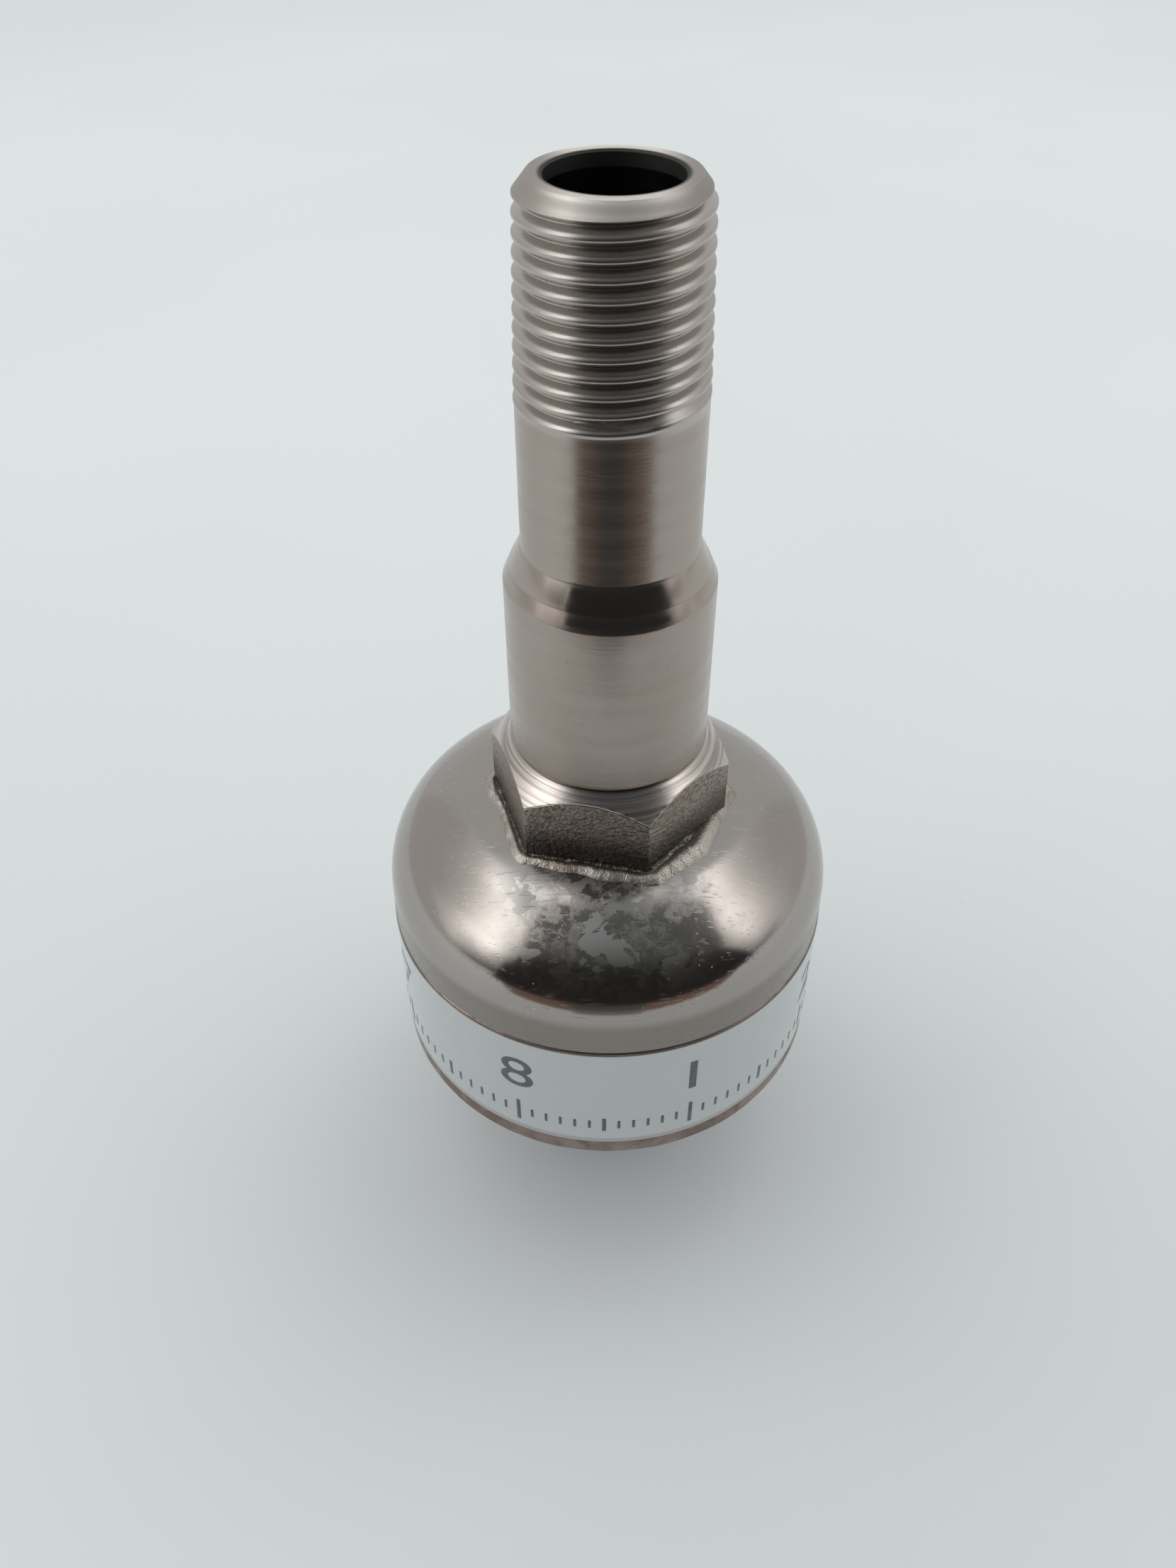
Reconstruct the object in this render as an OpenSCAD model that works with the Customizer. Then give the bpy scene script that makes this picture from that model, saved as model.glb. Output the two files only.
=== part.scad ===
// Vacuum gauge tube: a can with an octal plug base and a tapered-thread port on top.
// Millimetres, +Z up. The tube stands on the end of its key post at z = 0.
// Nested round parts keep fit_gap between them; flat faces touch.

/* [Can] */
// Outside diameter of the can
can_d = 30.88; // [25.5:0.02:37]
// Height of the can from its bottom rim to the flat on top
can_h = 20.48; // [19:0.02:26]
// Sheet thickness of the dome and the sleeve
shell_t = 0.8; // [0.6:0.1:1.0]
// Height of the lower sleeve, from the rim to the seam
sleeve_h = 11.65; // [10:0.05:12]
// Slope where the dome's crown meets its rounded corner, in degrees
crown_slope = 33.4; // [28:0.2:36]
// Outside radius of the dome's corner
corner_r = 5.35; // [4.5:0.05:6]
// Height of the thickened rim at the sleeve's foot
rim_h = 1.43; // [1.2:0.01:1.5]
// How far the rolled rim reaches inwards from the can's side
rim_in = 1.9; // [1.5:0.1:2.2]
// How far the rim stands out past the sleeve
rim_out = 0.08; // [0.04:0.01:0.2]
// Radius of the rim's lower outer edge
rim_round = 0.35; // [0.1:0.05:0.6]
// Chamfer on each side of the seam
seam_chamfer = 0.12; // [0.05:0.01:0.2]
// Thickness of the wrap-round label
label_t = 0.08; // [0.05:0.01:0.2]

/* [Port fitting] */
// Diameter of the bore
bore_d = 6.92; // [5:0.02:7.4]
// Outside diameter of the thread at its small end
thread_d = 9.94; // [9.6:0.02:10.3]
// Thread pitch, 27 to the inch
pitch = 0.9407; // [0.8:0.0001:1.1]
// Length from the tube's end to the thread's run-out
thread_h = 11.29; // [9:0.01:14]
// Length of the chamfer at the tube's end
end_chamfer_h = 0.84; // [0.5:0.01:1.2]
// Diameter of the flat ring round the bore's mouth
end_face_d = 8.6; // [8:0.1:9.4]
// Width of the flat on each thread crest and root
thread_flat = 0.05; // [0.03:0.01:0.1]
// Diameter of the slim neck below the thread
slim_neck_d = 10.54; // [10.5:0.02:12]
// Length of the slim neck
slim_neck_h = 8.65; // [7:0.05:12]
// Length of the bevel between the necks
bevel_h = 2.34; // [1.5:0.02:3]
// Diameter of the wide neck above the hexagon
wide_neck_d = 12.8; // [12.2:0.02:13.4]
// Length of the wide neck
wide_neck_h = 11.87; // [9:0.01:15]
// Hexagon size across its flats
hex_af = 14.0; // [13.6:0.1:17]
// Height of the hexagon with its turned cone
hex_h = 5.8; // [5:0.1:8]
// Turn of the hexagon about Z, in degrees
hex_turn = -11; // [-30:1:30]
// Width and depth of the groove where the wide neck meets the cone
neck_groove = 0.15; // [0.05:0.01:0.25]
// Diameter of the spigot that passes through the dome
spigot_d = 10; // [9:0.1:10.4]
// How far the spigot reaches into the can
spigot_in = 0.8; // [0.3:0.1:1.5]
// Height of the braze fillet on the hexagon's flats
braze_h = 0.75; // [0.4:0.05:1]
// Reach of the braze fillet from the hexagon's flats
braze_reach = 1.1; // [0.7:0.05:1.4]

/* [Octal base] */
// Length of the key post below the wafer
post_len = 14.3; // [13.5:0.1:17.5]
// Diameter of the key post
post_d = 7.92; // [7:0.02:9]
// Width of the key rib
rib_w = 1.6; // [1:0.1:2]
// How far the key rib stands out from the post
rib_out = 1.2; // [0.8:0.1:1.6]
// Diameter of the contact pins
pin_d = 2.36; // [2:0.02:2.9]
// Shoulder on the contact pins where they enter the wafer
pin_shoulder = 0.1; // [0.05:0.01:0.2]
// Bare shank between the pin's shoulder and the wafer's face
pin_relief = 0.2; // [0.1:0.05:0.4]
// Length of the contact pins below the wafer
pin_len = 11.1; // [9:0.1:12.5]
// Diameter of the circle the contact pins stand on
pin_circle_d = 17.45; // [16.5:0.05:19]
// Diameter of the solder cup in each contact pin's upper end
cup_d = 1.5; // [1.1:0.05:1.6]
// Depth of the solder cup
cup_h = 2; // [1.5:0.1:2.5]
// How far the wafer's face lies inside the rim
rim_recess = 1.6; // [1.5:0.1:2.4]
// Thickness of the wafer
wafer_t = 2.7; // [2:0.1:3.2]

/* [Inside] */
// Thickness of the header plate that carries the glass seals
header_t = 1.5; // [1:0.1:2]
// Diameter of the circle the feed pins stand on
feed_circle_d = 9; // [7.5:0.1:11]
// Diameter of the feed pins
feed_d = 1.0; // [0.8:0.05:1.2]
// Diameter of the glass seals
glass_d = 3.2; // [2.6:0.1:3.6]
// Height of the feed pins above the header plate
feed_up = 3.4; // [2:0.1:3.8]
// Length of the feed pins below the header plate
feed_down = 2.2; // [1.5:0.1:2.4]
// Diameter of the heater wire and the thermocouple wires
fine_wire_d = 0.16; // [0.1:0.01:0.3]
// Diameter of the welded junction bead
bead_d = 0.5; // [0.4:0.05:0.8]
// Diameter of the wires to the contact pins
lead_d = 0.7; // [0.5:0.05:0.8]

/* [Hidden] */
$fn = 96;
fit_gap = 0.03;
over = 1;
pin_count = 8;
feed_count = 4;
// The key rib faces -Y and the first pins stand half a step either side of it
rib_angle = -90;
pin_step = 360 / pin_count;
first_pin_angle = rib_angle + pin_step / 2;

can_r = can_d / 2;
shell_in_r = can_r - shell_t;
bore_r = bore_d / 2;
thread_r = thread_d / 2;
slim_r = slim_neck_d / 2;
wide_r = wide_neck_d / 2;
hex_r = hex_af / 2 / cos(30);
spigot_r = spigot_d / 2;
post_r = post_d / 2;
pin_r = pin_d / 2;
shank_r = pin_r - pin_shoulder;
cup_r = cup_d / 2;
pin_circle_r = pin_circle_d / 2;
feed_r = feed_d / 2;
feed_circle_r = feed_circle_d / 2;
glass_r = glass_d / 2;
fine_wire_r = fine_wire_d / 2;
bead_r = bead_d / 2;
lead_r = lead_d / 2;

// Heights from the key post's end upwards
wafer_z = post_len;
wafer_top_z = wafer_z + wafer_t;
rim_z = wafer_z - rim_recess;
seam_z = rim_z + sleeve_h;
cap_z = rim_z + can_h;
hex_top_z = cap_z + hex_h;
bevel_low_z = hex_top_z + wide_neck_h;
bevel_top_z = bevel_low_z + bevel_h;
thread_low_z = bevel_top_z + slim_neck_h;
top_z = thread_low_z + thread_h;
chamfer_z = top_z - end_chamfer_h;
header_z = seam_z - header_t / 2;
header_top_z = seam_z + header_t / 2;

// Dome: a corner arc tangent to the side, then a crown arc that ends level
corner_sweep = 90 - crown_slope;
crown_out_r = can_r - corner_r * (1 - cos(corner_sweep));
crown_flat_r = hex_r - 1;
crown_r = (crown_out_r - crown_flat_r) / sin(crown_slope);
crown_low_z = cap_z - crown_r * (1 - cos(crown_slope));
corner_z = crown_low_z - corner_r * sin(corner_sweep);
arc_steps = 16;

// Braze fillet: width of its top edge, then its reach past the hexagon's corners below and above
braze_lip = 0.25;
braze_corner_low = 1.6;
braze_corner_top = 0.15;

// Thread: 60 degree ridges on a taper of 1 in 16
thread_depth = (pitch - 2 * thread_flat) / 2 / tan(30);
taper = 1 / 32;
thread_count = floor((chamfer_z - thread_low_z) / pitch);

// Contact pins: a round tip below, a thinner shank in the wafer, a collar on it and a solder cup in the upper end
collar_r = pin_r + 0.5;
collar_h = 0.6;
tip_z = wafer_z - pin_len + pin_r;
cup_top_z = wafer_top_z + collar_h;
cup_z = cup_top_z - cup_h;
solder_up = 0.15;
post_flange_r = post_r + 1.4;
post_flange_h = 1;
post_chamfer = 0.2;
rib_low_z = 0.5;

// Wires
feed_top_z = header_top_z + feed_up;
feed_low_z = header_z - feed_down;
fine_wire_z = feed_top_z - 2 * fine_wire_d;
lead_bend_z = feed_low_z - 0.5;
lead_in_z = cup_top_z + 0.3;
lead_end_z = cup_z + 0.3;

nickel = [0.62, 0.58, 0.54];
rim_nickel = [0.42, 0.36, 0.31];
braze_metal = [0.72, 0.69, 0.63];
paper = [0.92, 0.93, 0.94];
plastic = [0.13, 0.10, 0.08];
steel = [0.5, 0.5, 0.52];
glass_green = [0.25, 0.38, 0.36];
pin_brass = [0.72, 0.66, 0.5];
solder = [0.7, 0.71, 0.72];
wire_tin = [0.75, 0.73, 0.7];

// Points of the dome's outside or, with a step inwards, its inside, from the side to the level top
function dome_points(step) = concat(
    [for (i = [0 : arc_steps]) let (a = corner_sweep * i / arc_steps)
        [can_r - corner_r + (corner_r - step) * cos(a), corner_z + (corner_r - step) * sin(a)]],
    [for (i = [1 : arc_steps]) let (a = corner_sweep + crown_slope * i / arc_steps)
        [crown_flat_r + (crown_r - step) * cos(a), cap_z - crown_r + (crown_r - step) * sin(a)]]
);

// Thread points from the chamfer down; ridge i stands i pitches below the chamfer's edge
function ridge_r(i) = thread_r + i * pitch * taper;
function ridge_z(i) = chamfer_z - i * pitch;
function thread_points() = [
    for (i = [0 : thread_count - 1])
        for (p = [
            [ridge_r(i), ridge_z(i) - thread_flat / 2],
            [ridge_r(i) - thread_depth, ridge_z(i) - pitch / 2 + thread_flat / 2],
            [ridge_r(i + 1) - thread_depth, ridge_z(i) - pitch / 2 - thread_flat / 2],
            [ridge_r(i + 1), ridge_z(i + 1) + thread_flat / 2]
        ]) p
];

module at_pin(n) rotate(first_pin_angle + (n - 1) * pin_step) translate([pin_circle_r, 0, 0]) children();

module at_feed(n) rotate(first_pin_angle + 2 * (n - 1) * pin_step) translate([feed_circle_r, 0, 0]) children();

// Solid that fills the can's outside up to its level top, lifted by fit_gap
module dome_cutter()
    translate([0, 0, fit_gap])
        rotate_extrude()
            polygon(concat([[0, rim_z], [can_r, rim_z]], dome_points(0), [[0, cap_z]]));

// Hexagonal bar with its upper end turned to a 45 degree cone
module hex_bar()
    intersection() {
        translate([0, 0, cap_z])
            rotate(hex_turn) cylinder(h = hex_h, r = hex_r, $fn = 6);
        translate([0, 0, cap_z])
            rotate_extrude()
                polygon([
                    [0, 0],
                    [wide_r + hex_h, 0],
                    [wide_r, hex_h],
                    [0, hex_h]
                ]);
    }

module threaded_stem() color(nickel)
    difference() {
        union() {
            rotate_extrude()
                polygon(concat(
                    [[0, top_z], [end_face_d / 2, top_z], [thread_r, chamfer_z]],
                    thread_points(),
                    [
                        [slim_r, thread_low_z],
                        [slim_r, bevel_top_z],
                        [wide_r, bevel_low_z],
                        [wide_r, hex_top_z + neck_groove],
                        [wide_r - neck_groove, hex_top_z],
                        [wide_r - neck_groove, cap_z],
                        [spigot_r, cap_z],
                        [spigot_r, cap_z - shell_t - spigot_in],
                        [0, cap_z - shell_t - spigot_in]
                    ]
                ));
            hex_bar();
        }
        translate([0, 0, cap_z - shell_t - spigot_in - over])
            cylinder(h = top_z - cap_z + shell_t + spigot_in + 2 * over, r = bore_r);
    }

// Six-sided fillet with rounded corners, fitted to the dome below and the hexagon inside
module braze_ring() color(braze_metal)
    difference() {
        intersection() {
            translate([0, 0, cap_z - braze_h])
                rotate(hex_turn)
                    cylinder(
                        h = 2 * braze_h,
                        r1 = hex_r + (2 * braze_reach - braze_lip) / cos(30),
                        r2 = hex_r + braze_lip / cos(30),
                        $fn = 6
                    );
            translate([0, 0, cap_z - braze_h])
                cylinder(h = 2 * braze_h, r1 = hex_r + braze_corner_low, r2 = hex_r + braze_corner_top);
        }
        translate([0, 0, cap_z - 2 * over])
            rotate(hex_turn) cylinder(h = hex_h, r = hex_r, $fn = 6);
        dome_cutter();
    }

module cap_shell() color(nickel)
    rotate_extrude()
        polygon(concat(
            [
                [shell_in_r, seam_z],
                [can_r - seam_chamfer, seam_z],
                [can_r, seam_z + seam_chamfer]
            ],
            dome_points(0),
            [[spigot_r + fit_gap, cap_z], [spigot_r + fit_gap, cap_z - shell_t]],
            [for (i = [len(dome_points(shell_t)) - 1 : -1 : 0]) dome_points(shell_t)[i]]
        ));

module base_sleeve() color(rim_nickel)
    rotate_extrude()
        polygon(concat(
            [
                [shell_in_r, seam_z],
                [shell_in_r, wafer_z],
                [can_r - rim_in, wafer_z],
                [can_r - rim_in, rim_z + rim_round],
                [can_r - rim_in + rim_round, rim_z]
            ],
            [for (i = [0 : arc_steps / 2]) let (a = -90 + 90 * i / (arc_steps / 2))
                [can_r + rim_out - rim_round + rim_round * cos(a), rim_z + rim_round + rim_round * sin(a)]],
            [
                [can_r + rim_out, rim_z + rim_h - rim_out],
                [can_r, rim_z + rim_h],
                [can_r, seam_z - seam_chamfer],
                [can_r - seam_chamfer, seam_z]
            ]
        ));

module label_band() color(paper)
    translate([0, 0, rim_z + rim_h + fit_gap])
        difference() {
            cylinder(h = sleeve_h - rim_h - seam_chamfer - fit_gap, r = can_r + fit_gap + label_t);
            translate([0, 0, -over]) cylinder(h = sleeve_h + over, r = can_r + fit_gap);
        }

module header_plate() color(steel)
    difference() {
        translate([0, 0, header_z]) cylinder(h = header_t, r = shell_in_r - fit_gap);
        for (n = [1 : feed_count])
            at_feed(n) translate([0, 0, header_z - over]) cylinder(h = header_t + 2 * over, r = glass_r);
    }

module glass_seal(n) color(glass_green)
    at_feed(n)
        translate([0, 0, header_z])
            difference() {
                cylinder(h = header_t, r = glass_r - fit_gap);
                translate([0, 0, -over]) cylinder(h = header_t + 2 * over, r = feed_r + fit_gap);
            }

// Feed pins are drilled across at the top for the fine wires
module feed_pin(n) color(steel)
    difference() {
        at_feed(n) translate([0, 0, feed_low_z]) cylinder(h = feed_top_z - feed_low_z, r = feed_r);
        rotate(first_pin_angle + 2 * (n - 1) * pin_step)
            translate([0, 0, fine_wire_z])
                rotate([0, 90, 0]) cylinder(h = can_r, r = fine_wire_r + fit_gap, $fn = 24);
    }

// A fine wire from one radius to another at feed pin n's angle
module fine_wire(n, from_r, to_r)
    rotate(first_pin_angle + 2 * (n - 1) * pin_step)
        translate([from_r, 0, fine_wire_z])
            rotate([0, 90, 0]) cylinder(h = to_r - from_r, r = fine_wire_r, $fn = 24);

module heater_wire() color(wire_tin)
    fine_wire(1, -feed_circle_r - feed_r, feed_circle_r + feed_r);

module couple_wire(n) color(wire_tin)
    fine_wire(n, fine_wire_d, feed_circle_r + feed_r);

module junction_bead() color(solder)
    difference() {
        translate([0, 0, fine_wire_z]) sphere(r = bead_r, $fn = 32);
        fine_wire(1, -bead_d, bead_d);
        fine_wire(2, fine_wire_d - fit_gap, bead_d);
        fine_wire(4, fine_wire_d - fit_gap, bead_d);
    }

// A round wire from one point to the next in the plane of its feed pin and contact pin
module lead_run(a, b)
    translate([a[0], 0, a[1]])
        rotate([0, atan2(b[0] - a[0], b[1] - a[1]), 0])
            cylinder(h = norm([b[0] - a[0], b[1] - a[1]]), r = lead_r, $fn = 32);

module lead_wire(n) color(wire_tin)
    rotate(first_pin_angle + 2 * (n - 1) * pin_step) {
        lead_run([feed_circle_r, feed_low_z], [feed_circle_r, lead_bend_z]);
        translate([feed_circle_r, 0, lead_bend_z]) sphere(r = lead_r, $fn = 32);
        lead_run([feed_circle_r, lead_bend_z], [pin_circle_r, lead_in_z]);
        translate([pin_circle_r, 0, lead_in_z]) sphere(r = lead_r, $fn = 32);
        lead_run([pin_circle_r, lead_in_z], [pin_circle_r, lead_end_z]);
    }

module base_wafer() color(plastic)
    translate([0, 0, wafer_z])
        difference() {
            cylinder(h = wafer_t, r = shell_in_r - fit_gap);
            translate([0, 0, -over]) cylinder(h = wafer_t + 2 * over, r = post_r + fit_gap);
            for (n = [1 : pin_count])
                at_pin(n) translate([0, 0, -over]) cylinder(h = wafer_t + 2 * over, r = shank_r + fit_gap);
        }

module key_post() color(plastic) {
    translate([0, 0, post_chamfer]) cylinder(h = wafer_top_z - post_chamfer, r = post_r);
    cylinder(h = post_chamfer, r1 = post_r - post_chamfer, r2 = post_r);
    translate([0, 0, wafer_top_z]) cylinder(h = post_flange_h, r = post_flange_r);
    rotate(rib_angle)
        translate([0, -rib_w / 2, rib_low_z])
            cube([post_r + rib_out, rib_w, wafer_z - rib_low_z]);
}

module contact_pin(n) color(pin_brass)
    at_pin(n)
        difference() {
            union() {
                translate([0, 0, tip_z]) cylinder(h = wafer_z - pin_relief - tip_z, r = pin_r, $fn = 48);
                translate([0, 0, wafer_z - pin_relief]) cylinder(h = wafer_t + pin_relief, r = shank_r, $fn = 48);
                translate([0, 0, tip_z]) sphere(r = pin_r, $fn = 48);
                translate([0, 0, wafer_top_z]) cylinder(h = collar_h, r = collar_r, $fn = 48);
            }
            translate([0, 0, cup_z]) cylinder(h = cup_h + over, r = cup_r, $fn = 48);
        }

// Solder round the lead wires in the four wired cups
module solder_joints() color(solder)
    for (n = [1 : 2 : pin_count])
        at_pin(n)
            translate([0, 0, cup_z])
                difference() {
                    cylinder(h = cup_h + solder_up, r = cup_r - fit_gap, $fn = 32);
                    translate([0, 0, lead_end_z - cup_z - fit_gap])
                        cylinder(h = cup_h + over, r = lead_r + fit_gap, $fn = 32);
                }

threaded_stem();
braze_ring();
cap_shell();
base_sleeve();
label_band();
header_plate();
glass_seal(1);  // glass_seal_1
glass_seal(2);  // glass_seal_2
glass_seal(3);  // glass_seal_3
glass_seal(4);  // glass_seal_4
feed_pin(1);  // feed_pin_1
feed_pin(2);  // feed_pin_2
feed_pin(3);  // feed_pin_3
feed_pin(4);  // feed_pin_4
heater_wire();
couple_wire(2);  // couple_wire_a
couple_wire(4);  // couple_wire_b
junction_bead();
lead_wire(1);  // lead_wire_1
lead_wire(2);  // lead_wire_2
lead_wire(3);  // lead_wire_3
lead_wire(4);  // lead_wire_4
base_wafer();
key_post();
contact_pin(1);  // contact_pin_1
contact_pin(2);  // contact_pin_2
contact_pin(3);  // contact_pin_3
contact_pin(4);  // contact_pin_4
contact_pin(5);  // contact_pin_5
contact_pin(6);  // contact_pin_6
contact_pin(7);  // contact_pin_7
contact_pin(8);  // contact_pin_8
solder_joints();
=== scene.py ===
"""Looks for a vacuum gauge tube: a nickel-plated port fitting, a domed can and an octal base."""

from math import atan2, ceil, cos, floor, hypot, pi, radians, sin

import bmesh
import bpy
from bpy.props import FloatProperty, FloatVectorProperty, IntProperty, PointerProperty
from mathutils import Matrix, Vector, noise


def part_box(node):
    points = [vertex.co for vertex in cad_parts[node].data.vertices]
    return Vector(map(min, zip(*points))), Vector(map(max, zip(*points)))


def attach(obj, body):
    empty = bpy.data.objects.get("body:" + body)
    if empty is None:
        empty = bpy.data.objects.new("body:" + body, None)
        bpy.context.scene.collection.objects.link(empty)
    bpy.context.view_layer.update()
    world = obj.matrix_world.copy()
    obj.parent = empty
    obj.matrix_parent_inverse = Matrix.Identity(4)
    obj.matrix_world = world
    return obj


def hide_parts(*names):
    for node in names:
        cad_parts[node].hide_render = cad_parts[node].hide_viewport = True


bl_info = {
    "name": "Vacuum Gauge Tube",
    "version": (1, 0, 0),
    "blender": (4, 5, 0),
    "location": "3D View > Sidebar > Gauge Tube",
    "description": "Builds the looks of a vacuum gauge tube round its packed frame",
    "category": "Add Mesh",
}

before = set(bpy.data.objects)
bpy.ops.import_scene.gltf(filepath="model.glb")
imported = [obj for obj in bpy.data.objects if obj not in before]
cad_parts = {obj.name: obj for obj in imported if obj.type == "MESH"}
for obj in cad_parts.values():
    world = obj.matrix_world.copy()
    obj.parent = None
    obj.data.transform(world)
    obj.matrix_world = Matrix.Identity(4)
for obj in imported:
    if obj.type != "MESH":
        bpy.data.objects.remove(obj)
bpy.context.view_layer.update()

MM = 0.001
TURN = 2 * pi
BODY = "root"

STEM_LOW, STEM_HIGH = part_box("threaded_stem")
CAP_LOW, CAP_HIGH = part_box("cap_shell")
SLEEVE_LOW, SLEEVE_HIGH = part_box("base_sleeve")
LABEL_LOW, LABEL_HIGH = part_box("label_band")
WAFER_LOW, WAFER_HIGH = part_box("base_wafer")
POST_LOW, POST_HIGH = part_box("key_post")
PIN_LOW, PIN_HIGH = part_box("contact_pin_1")


def length(name, text, value):
    """A length property in metres, given in millimetres."""
    return FloatProperty(
        name=name, description=text, default=value * MM, min=0.0, unit="LENGTH", subtype="DISTANCE"
    )


def tilt(name, text, value):
    """An angle property in radians, given in degrees."""
    return FloatProperty(
        name=name, description=text, default=radians(value), unit="ROTATION", subtype="ANGLE"
    )


def colour(name, text, value):
    """A colour property."""
    return FloatVectorProperty(
        name=name, description=text, default=value, size=3, min=0.0, max=1.0, subtype="COLOR"
    )


class GaugeFittingSizes(bpy.types.PropertyGroup):
    """Sizes of the port fitting"""

    bore: length("Bore Radius", "Radius of the port's bore", 3.46)
    end_face: length("End Face Radius", "Outer radius of the flat ring round the bore's mouth", 4.3)
    chamfer: length("Chamfer Height", "Height of the chamfer at the tube's end", 0.84)
    thread: length("Thread Radius", "Radius over the crests at the thread's small end", 4.97)
    thread_length: length("Thread Length", "From the tube's end to the thread's run-out", 11.29)
    pitch: length("Pitch", "Thread pitch, 27 to the inch", 0.9407)
    first_crest: length("First Crest", "How far the first full crest is below the end face", 1.5)
    depth: length("Thread Depth", "Depth of the grooves below the crests", 0.5)
    crest: length("Crest Width", "Width of the rounded crest", 0.18)
    root: length("Root Width", "Width of the rounded root", 0.1)
    slim: length("Slim Neck Radius", "Radius of the neck below the thread", 5.27)
    slim_length: length("Slim Neck Length", "Length of the neck below the thread", 8.65)
    bevel: length("Bevel Height", "Height of the bevel between the necks", 2.34)
    wide: length("Wide Neck Radius", "Radius of the neck above the hexagon", 6.4)
    hexagon: length("Hexagon Flats", "Size of the hexagon across its flats", 14.0)
    hexagon_height: length("Hexagon Height", "Height of the hexagon with its turned cone", 5.8)
    hexagon_turn: tilt("Hexagon Turn", "Turn of the hexagon about the axis", -11.0)
    spigot: length("Spigot Radius", "Radius of the spigot inside the dome", 5.0)
    steps: IntProperty(name="Steps", description="Faces in one turn", default=160, min=48, max=256)


class GaugeCanSizes(bpy.types.PropertyGroup):
    """Sizes of the can"""

    radius: length("Can Radius", "Outer radius of the dome's side", 15.44)
    sheet: length("Sheet", "Thickness of the sheet", 0.8)
    corner: length("Corner Radius", "Radius of the dome's corner", 5.35)
    crown_slope: tilt("Crown Slope", "Slope where the crown meets the corner", 33.4)
    rim_height: length("Rim Height", "Height of the thickened rim", 1.43)
    rim_reach: length("Rim Reach", "How far the rolled rim reaches inwards", 1.9)
    braze_reach: length("Braze Reach", "How far the braze flows out from the hexagon", 1.35)
    braze_rise: length("Braze Rise", "How high the braze climbs the hexagon's flats", 0.7)
    label_inset: length("Label Inset", "Bare strip between the label and the seam", 0.1)


class GaugeBaseSizes(bpy.types.PropertyGroup):
    """Sizes of the octal base"""

    pin: length("Pin Radius", "Radius of a contact pin", 1.18)
    pin_circle: length("Pin Circle", "Radius of the circle of contact pins", 8.725)
    post: length("Post Radius", "Radius of the key post", 3.96)
    rib_width: length("Rib Width", "Width of the key rib", 1.6)
    rib_reach: length("Rib Reach", "How far the key rib stands out", 1.2)


class GaugeColours(bpy.types.PropertyGroup):
    """Colours of the finishes"""

    turned: colour("Turned Nickel", "Plating on the turned fitting", (0.41, 0.358, 0.322))
    dome: colour("Polished Nickel", "Plating on the dome", (0.40, 0.37, 0.345))
    side: colour("Dome Side", "Duller plating on the dome's short side", (0.27, 0.24, 0.213))
    tarnish: colour("Tarnish", "Brownish film on the plating", (0.30, 0.22, 0.17))
    grime: colour("Grime", "Dull film left by the brazing flux", (0.23, 0.265, 0.28))
    rim: colour("Rim Nickel", "Dulled plating on the rim", (0.34, 0.27, 0.235))
    braze: colour("Braze", "Grainy braze metal", (0.47, 0.44, 0.4))
    paper: colour("Label", "Face of the label", (0.49, 0.515, 0.52))
    ink: colour("Ink", "Print on the label", (0.055, 0.066, 0.078))
    moulding: colour("Moulding", "Brown moulding of the base", (0.032, 0.021, 0.015))
    pins: colour("Pins", "Plating on the contact pins", (0.62, 0.585, 0.50))
    floor: colour("Floor", "Pale table top", (0.72, 0.755, 0.765))


SIZE_GROUPS = {
    "gauge_fitting": GaugeFittingSizes,
    "gauge_can": GaugeCanSizes,
    "gauge_base": GaugeBaseSizes,
    "gauge_colours": GaugeColours,
}


# ---------------------------------------------------------------- modelling


def deselect():
    """Leaves nothing selected in object mode."""
    if bpy.context.object and bpy.context.object.mode != "OBJECT":
        bpy.ops.object.mode_set(mode="OBJECT")
    bpy.ops.object.select_all(action="DESELECT")


def pick(obj):
    """Leaves one object selected and active in object mode."""
    deselect()
    bpy.context.view_layer.objects.active = obj
    obj.select_set(True)


def edit(obj):
    """Opens one object in edit mode."""
    pick(obj)
    bpy.ops.object.mode_set(mode="EDIT")


def started(name):
    """Names the primitive that was just added."""
    obj = bpy.context.object
    obj.name = name
    obj.data.name = name
    return obj


def apply_modifiers(obj):
    """Applies every modifier in order."""
    pick(obj)
    for name in [m.name for m in obj.modifiers]:
        bpy.ops.object.modifier_apply(modifier=name)


def settle(obj, angle=32.0):
    """Puts the object's place into its mesh and shades it smooth below the angle."""
    pick(obj)
    bpy.ops.object.transform_apply(location=True, rotation=True, scale=True)
    bpy.ops.object.shade_smooth_by_angle(angle=radians(angle))
    deselect()
    return obj


def close_up(obj):
    """Merges doubled vertices and turns every face outwards."""
    edit(obj)
    bpy.ops.mesh.select_all(action="SELECT")
    bpy.ops.mesh.remove_doubles(threshold=0.0008 * MM)
    bpy.ops.mesh.normals_make_consistent(inside=False)
    bpy.ops.object.mode_set(mode="OBJECT")


def single_vertex(name, radius, height):
    """Starts a piece from one vertex and leaves it open in edit mode."""
    deselect()
    bpy.ops.mesh.primitive_circle_add(vertices=3, radius=MM)
    obj = started(name)
    bpy.ops.object.mode_set(mode="EDIT")
    bpy.ops.mesh.select_mode(type="VERT")
    bpy.ops.mesh.select_all(action="SELECT")
    bpy.ops.mesh.merge(type="CENTER")
    bpy.ops.transform.translate(value=(radius, 0, height))
    return obj


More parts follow.
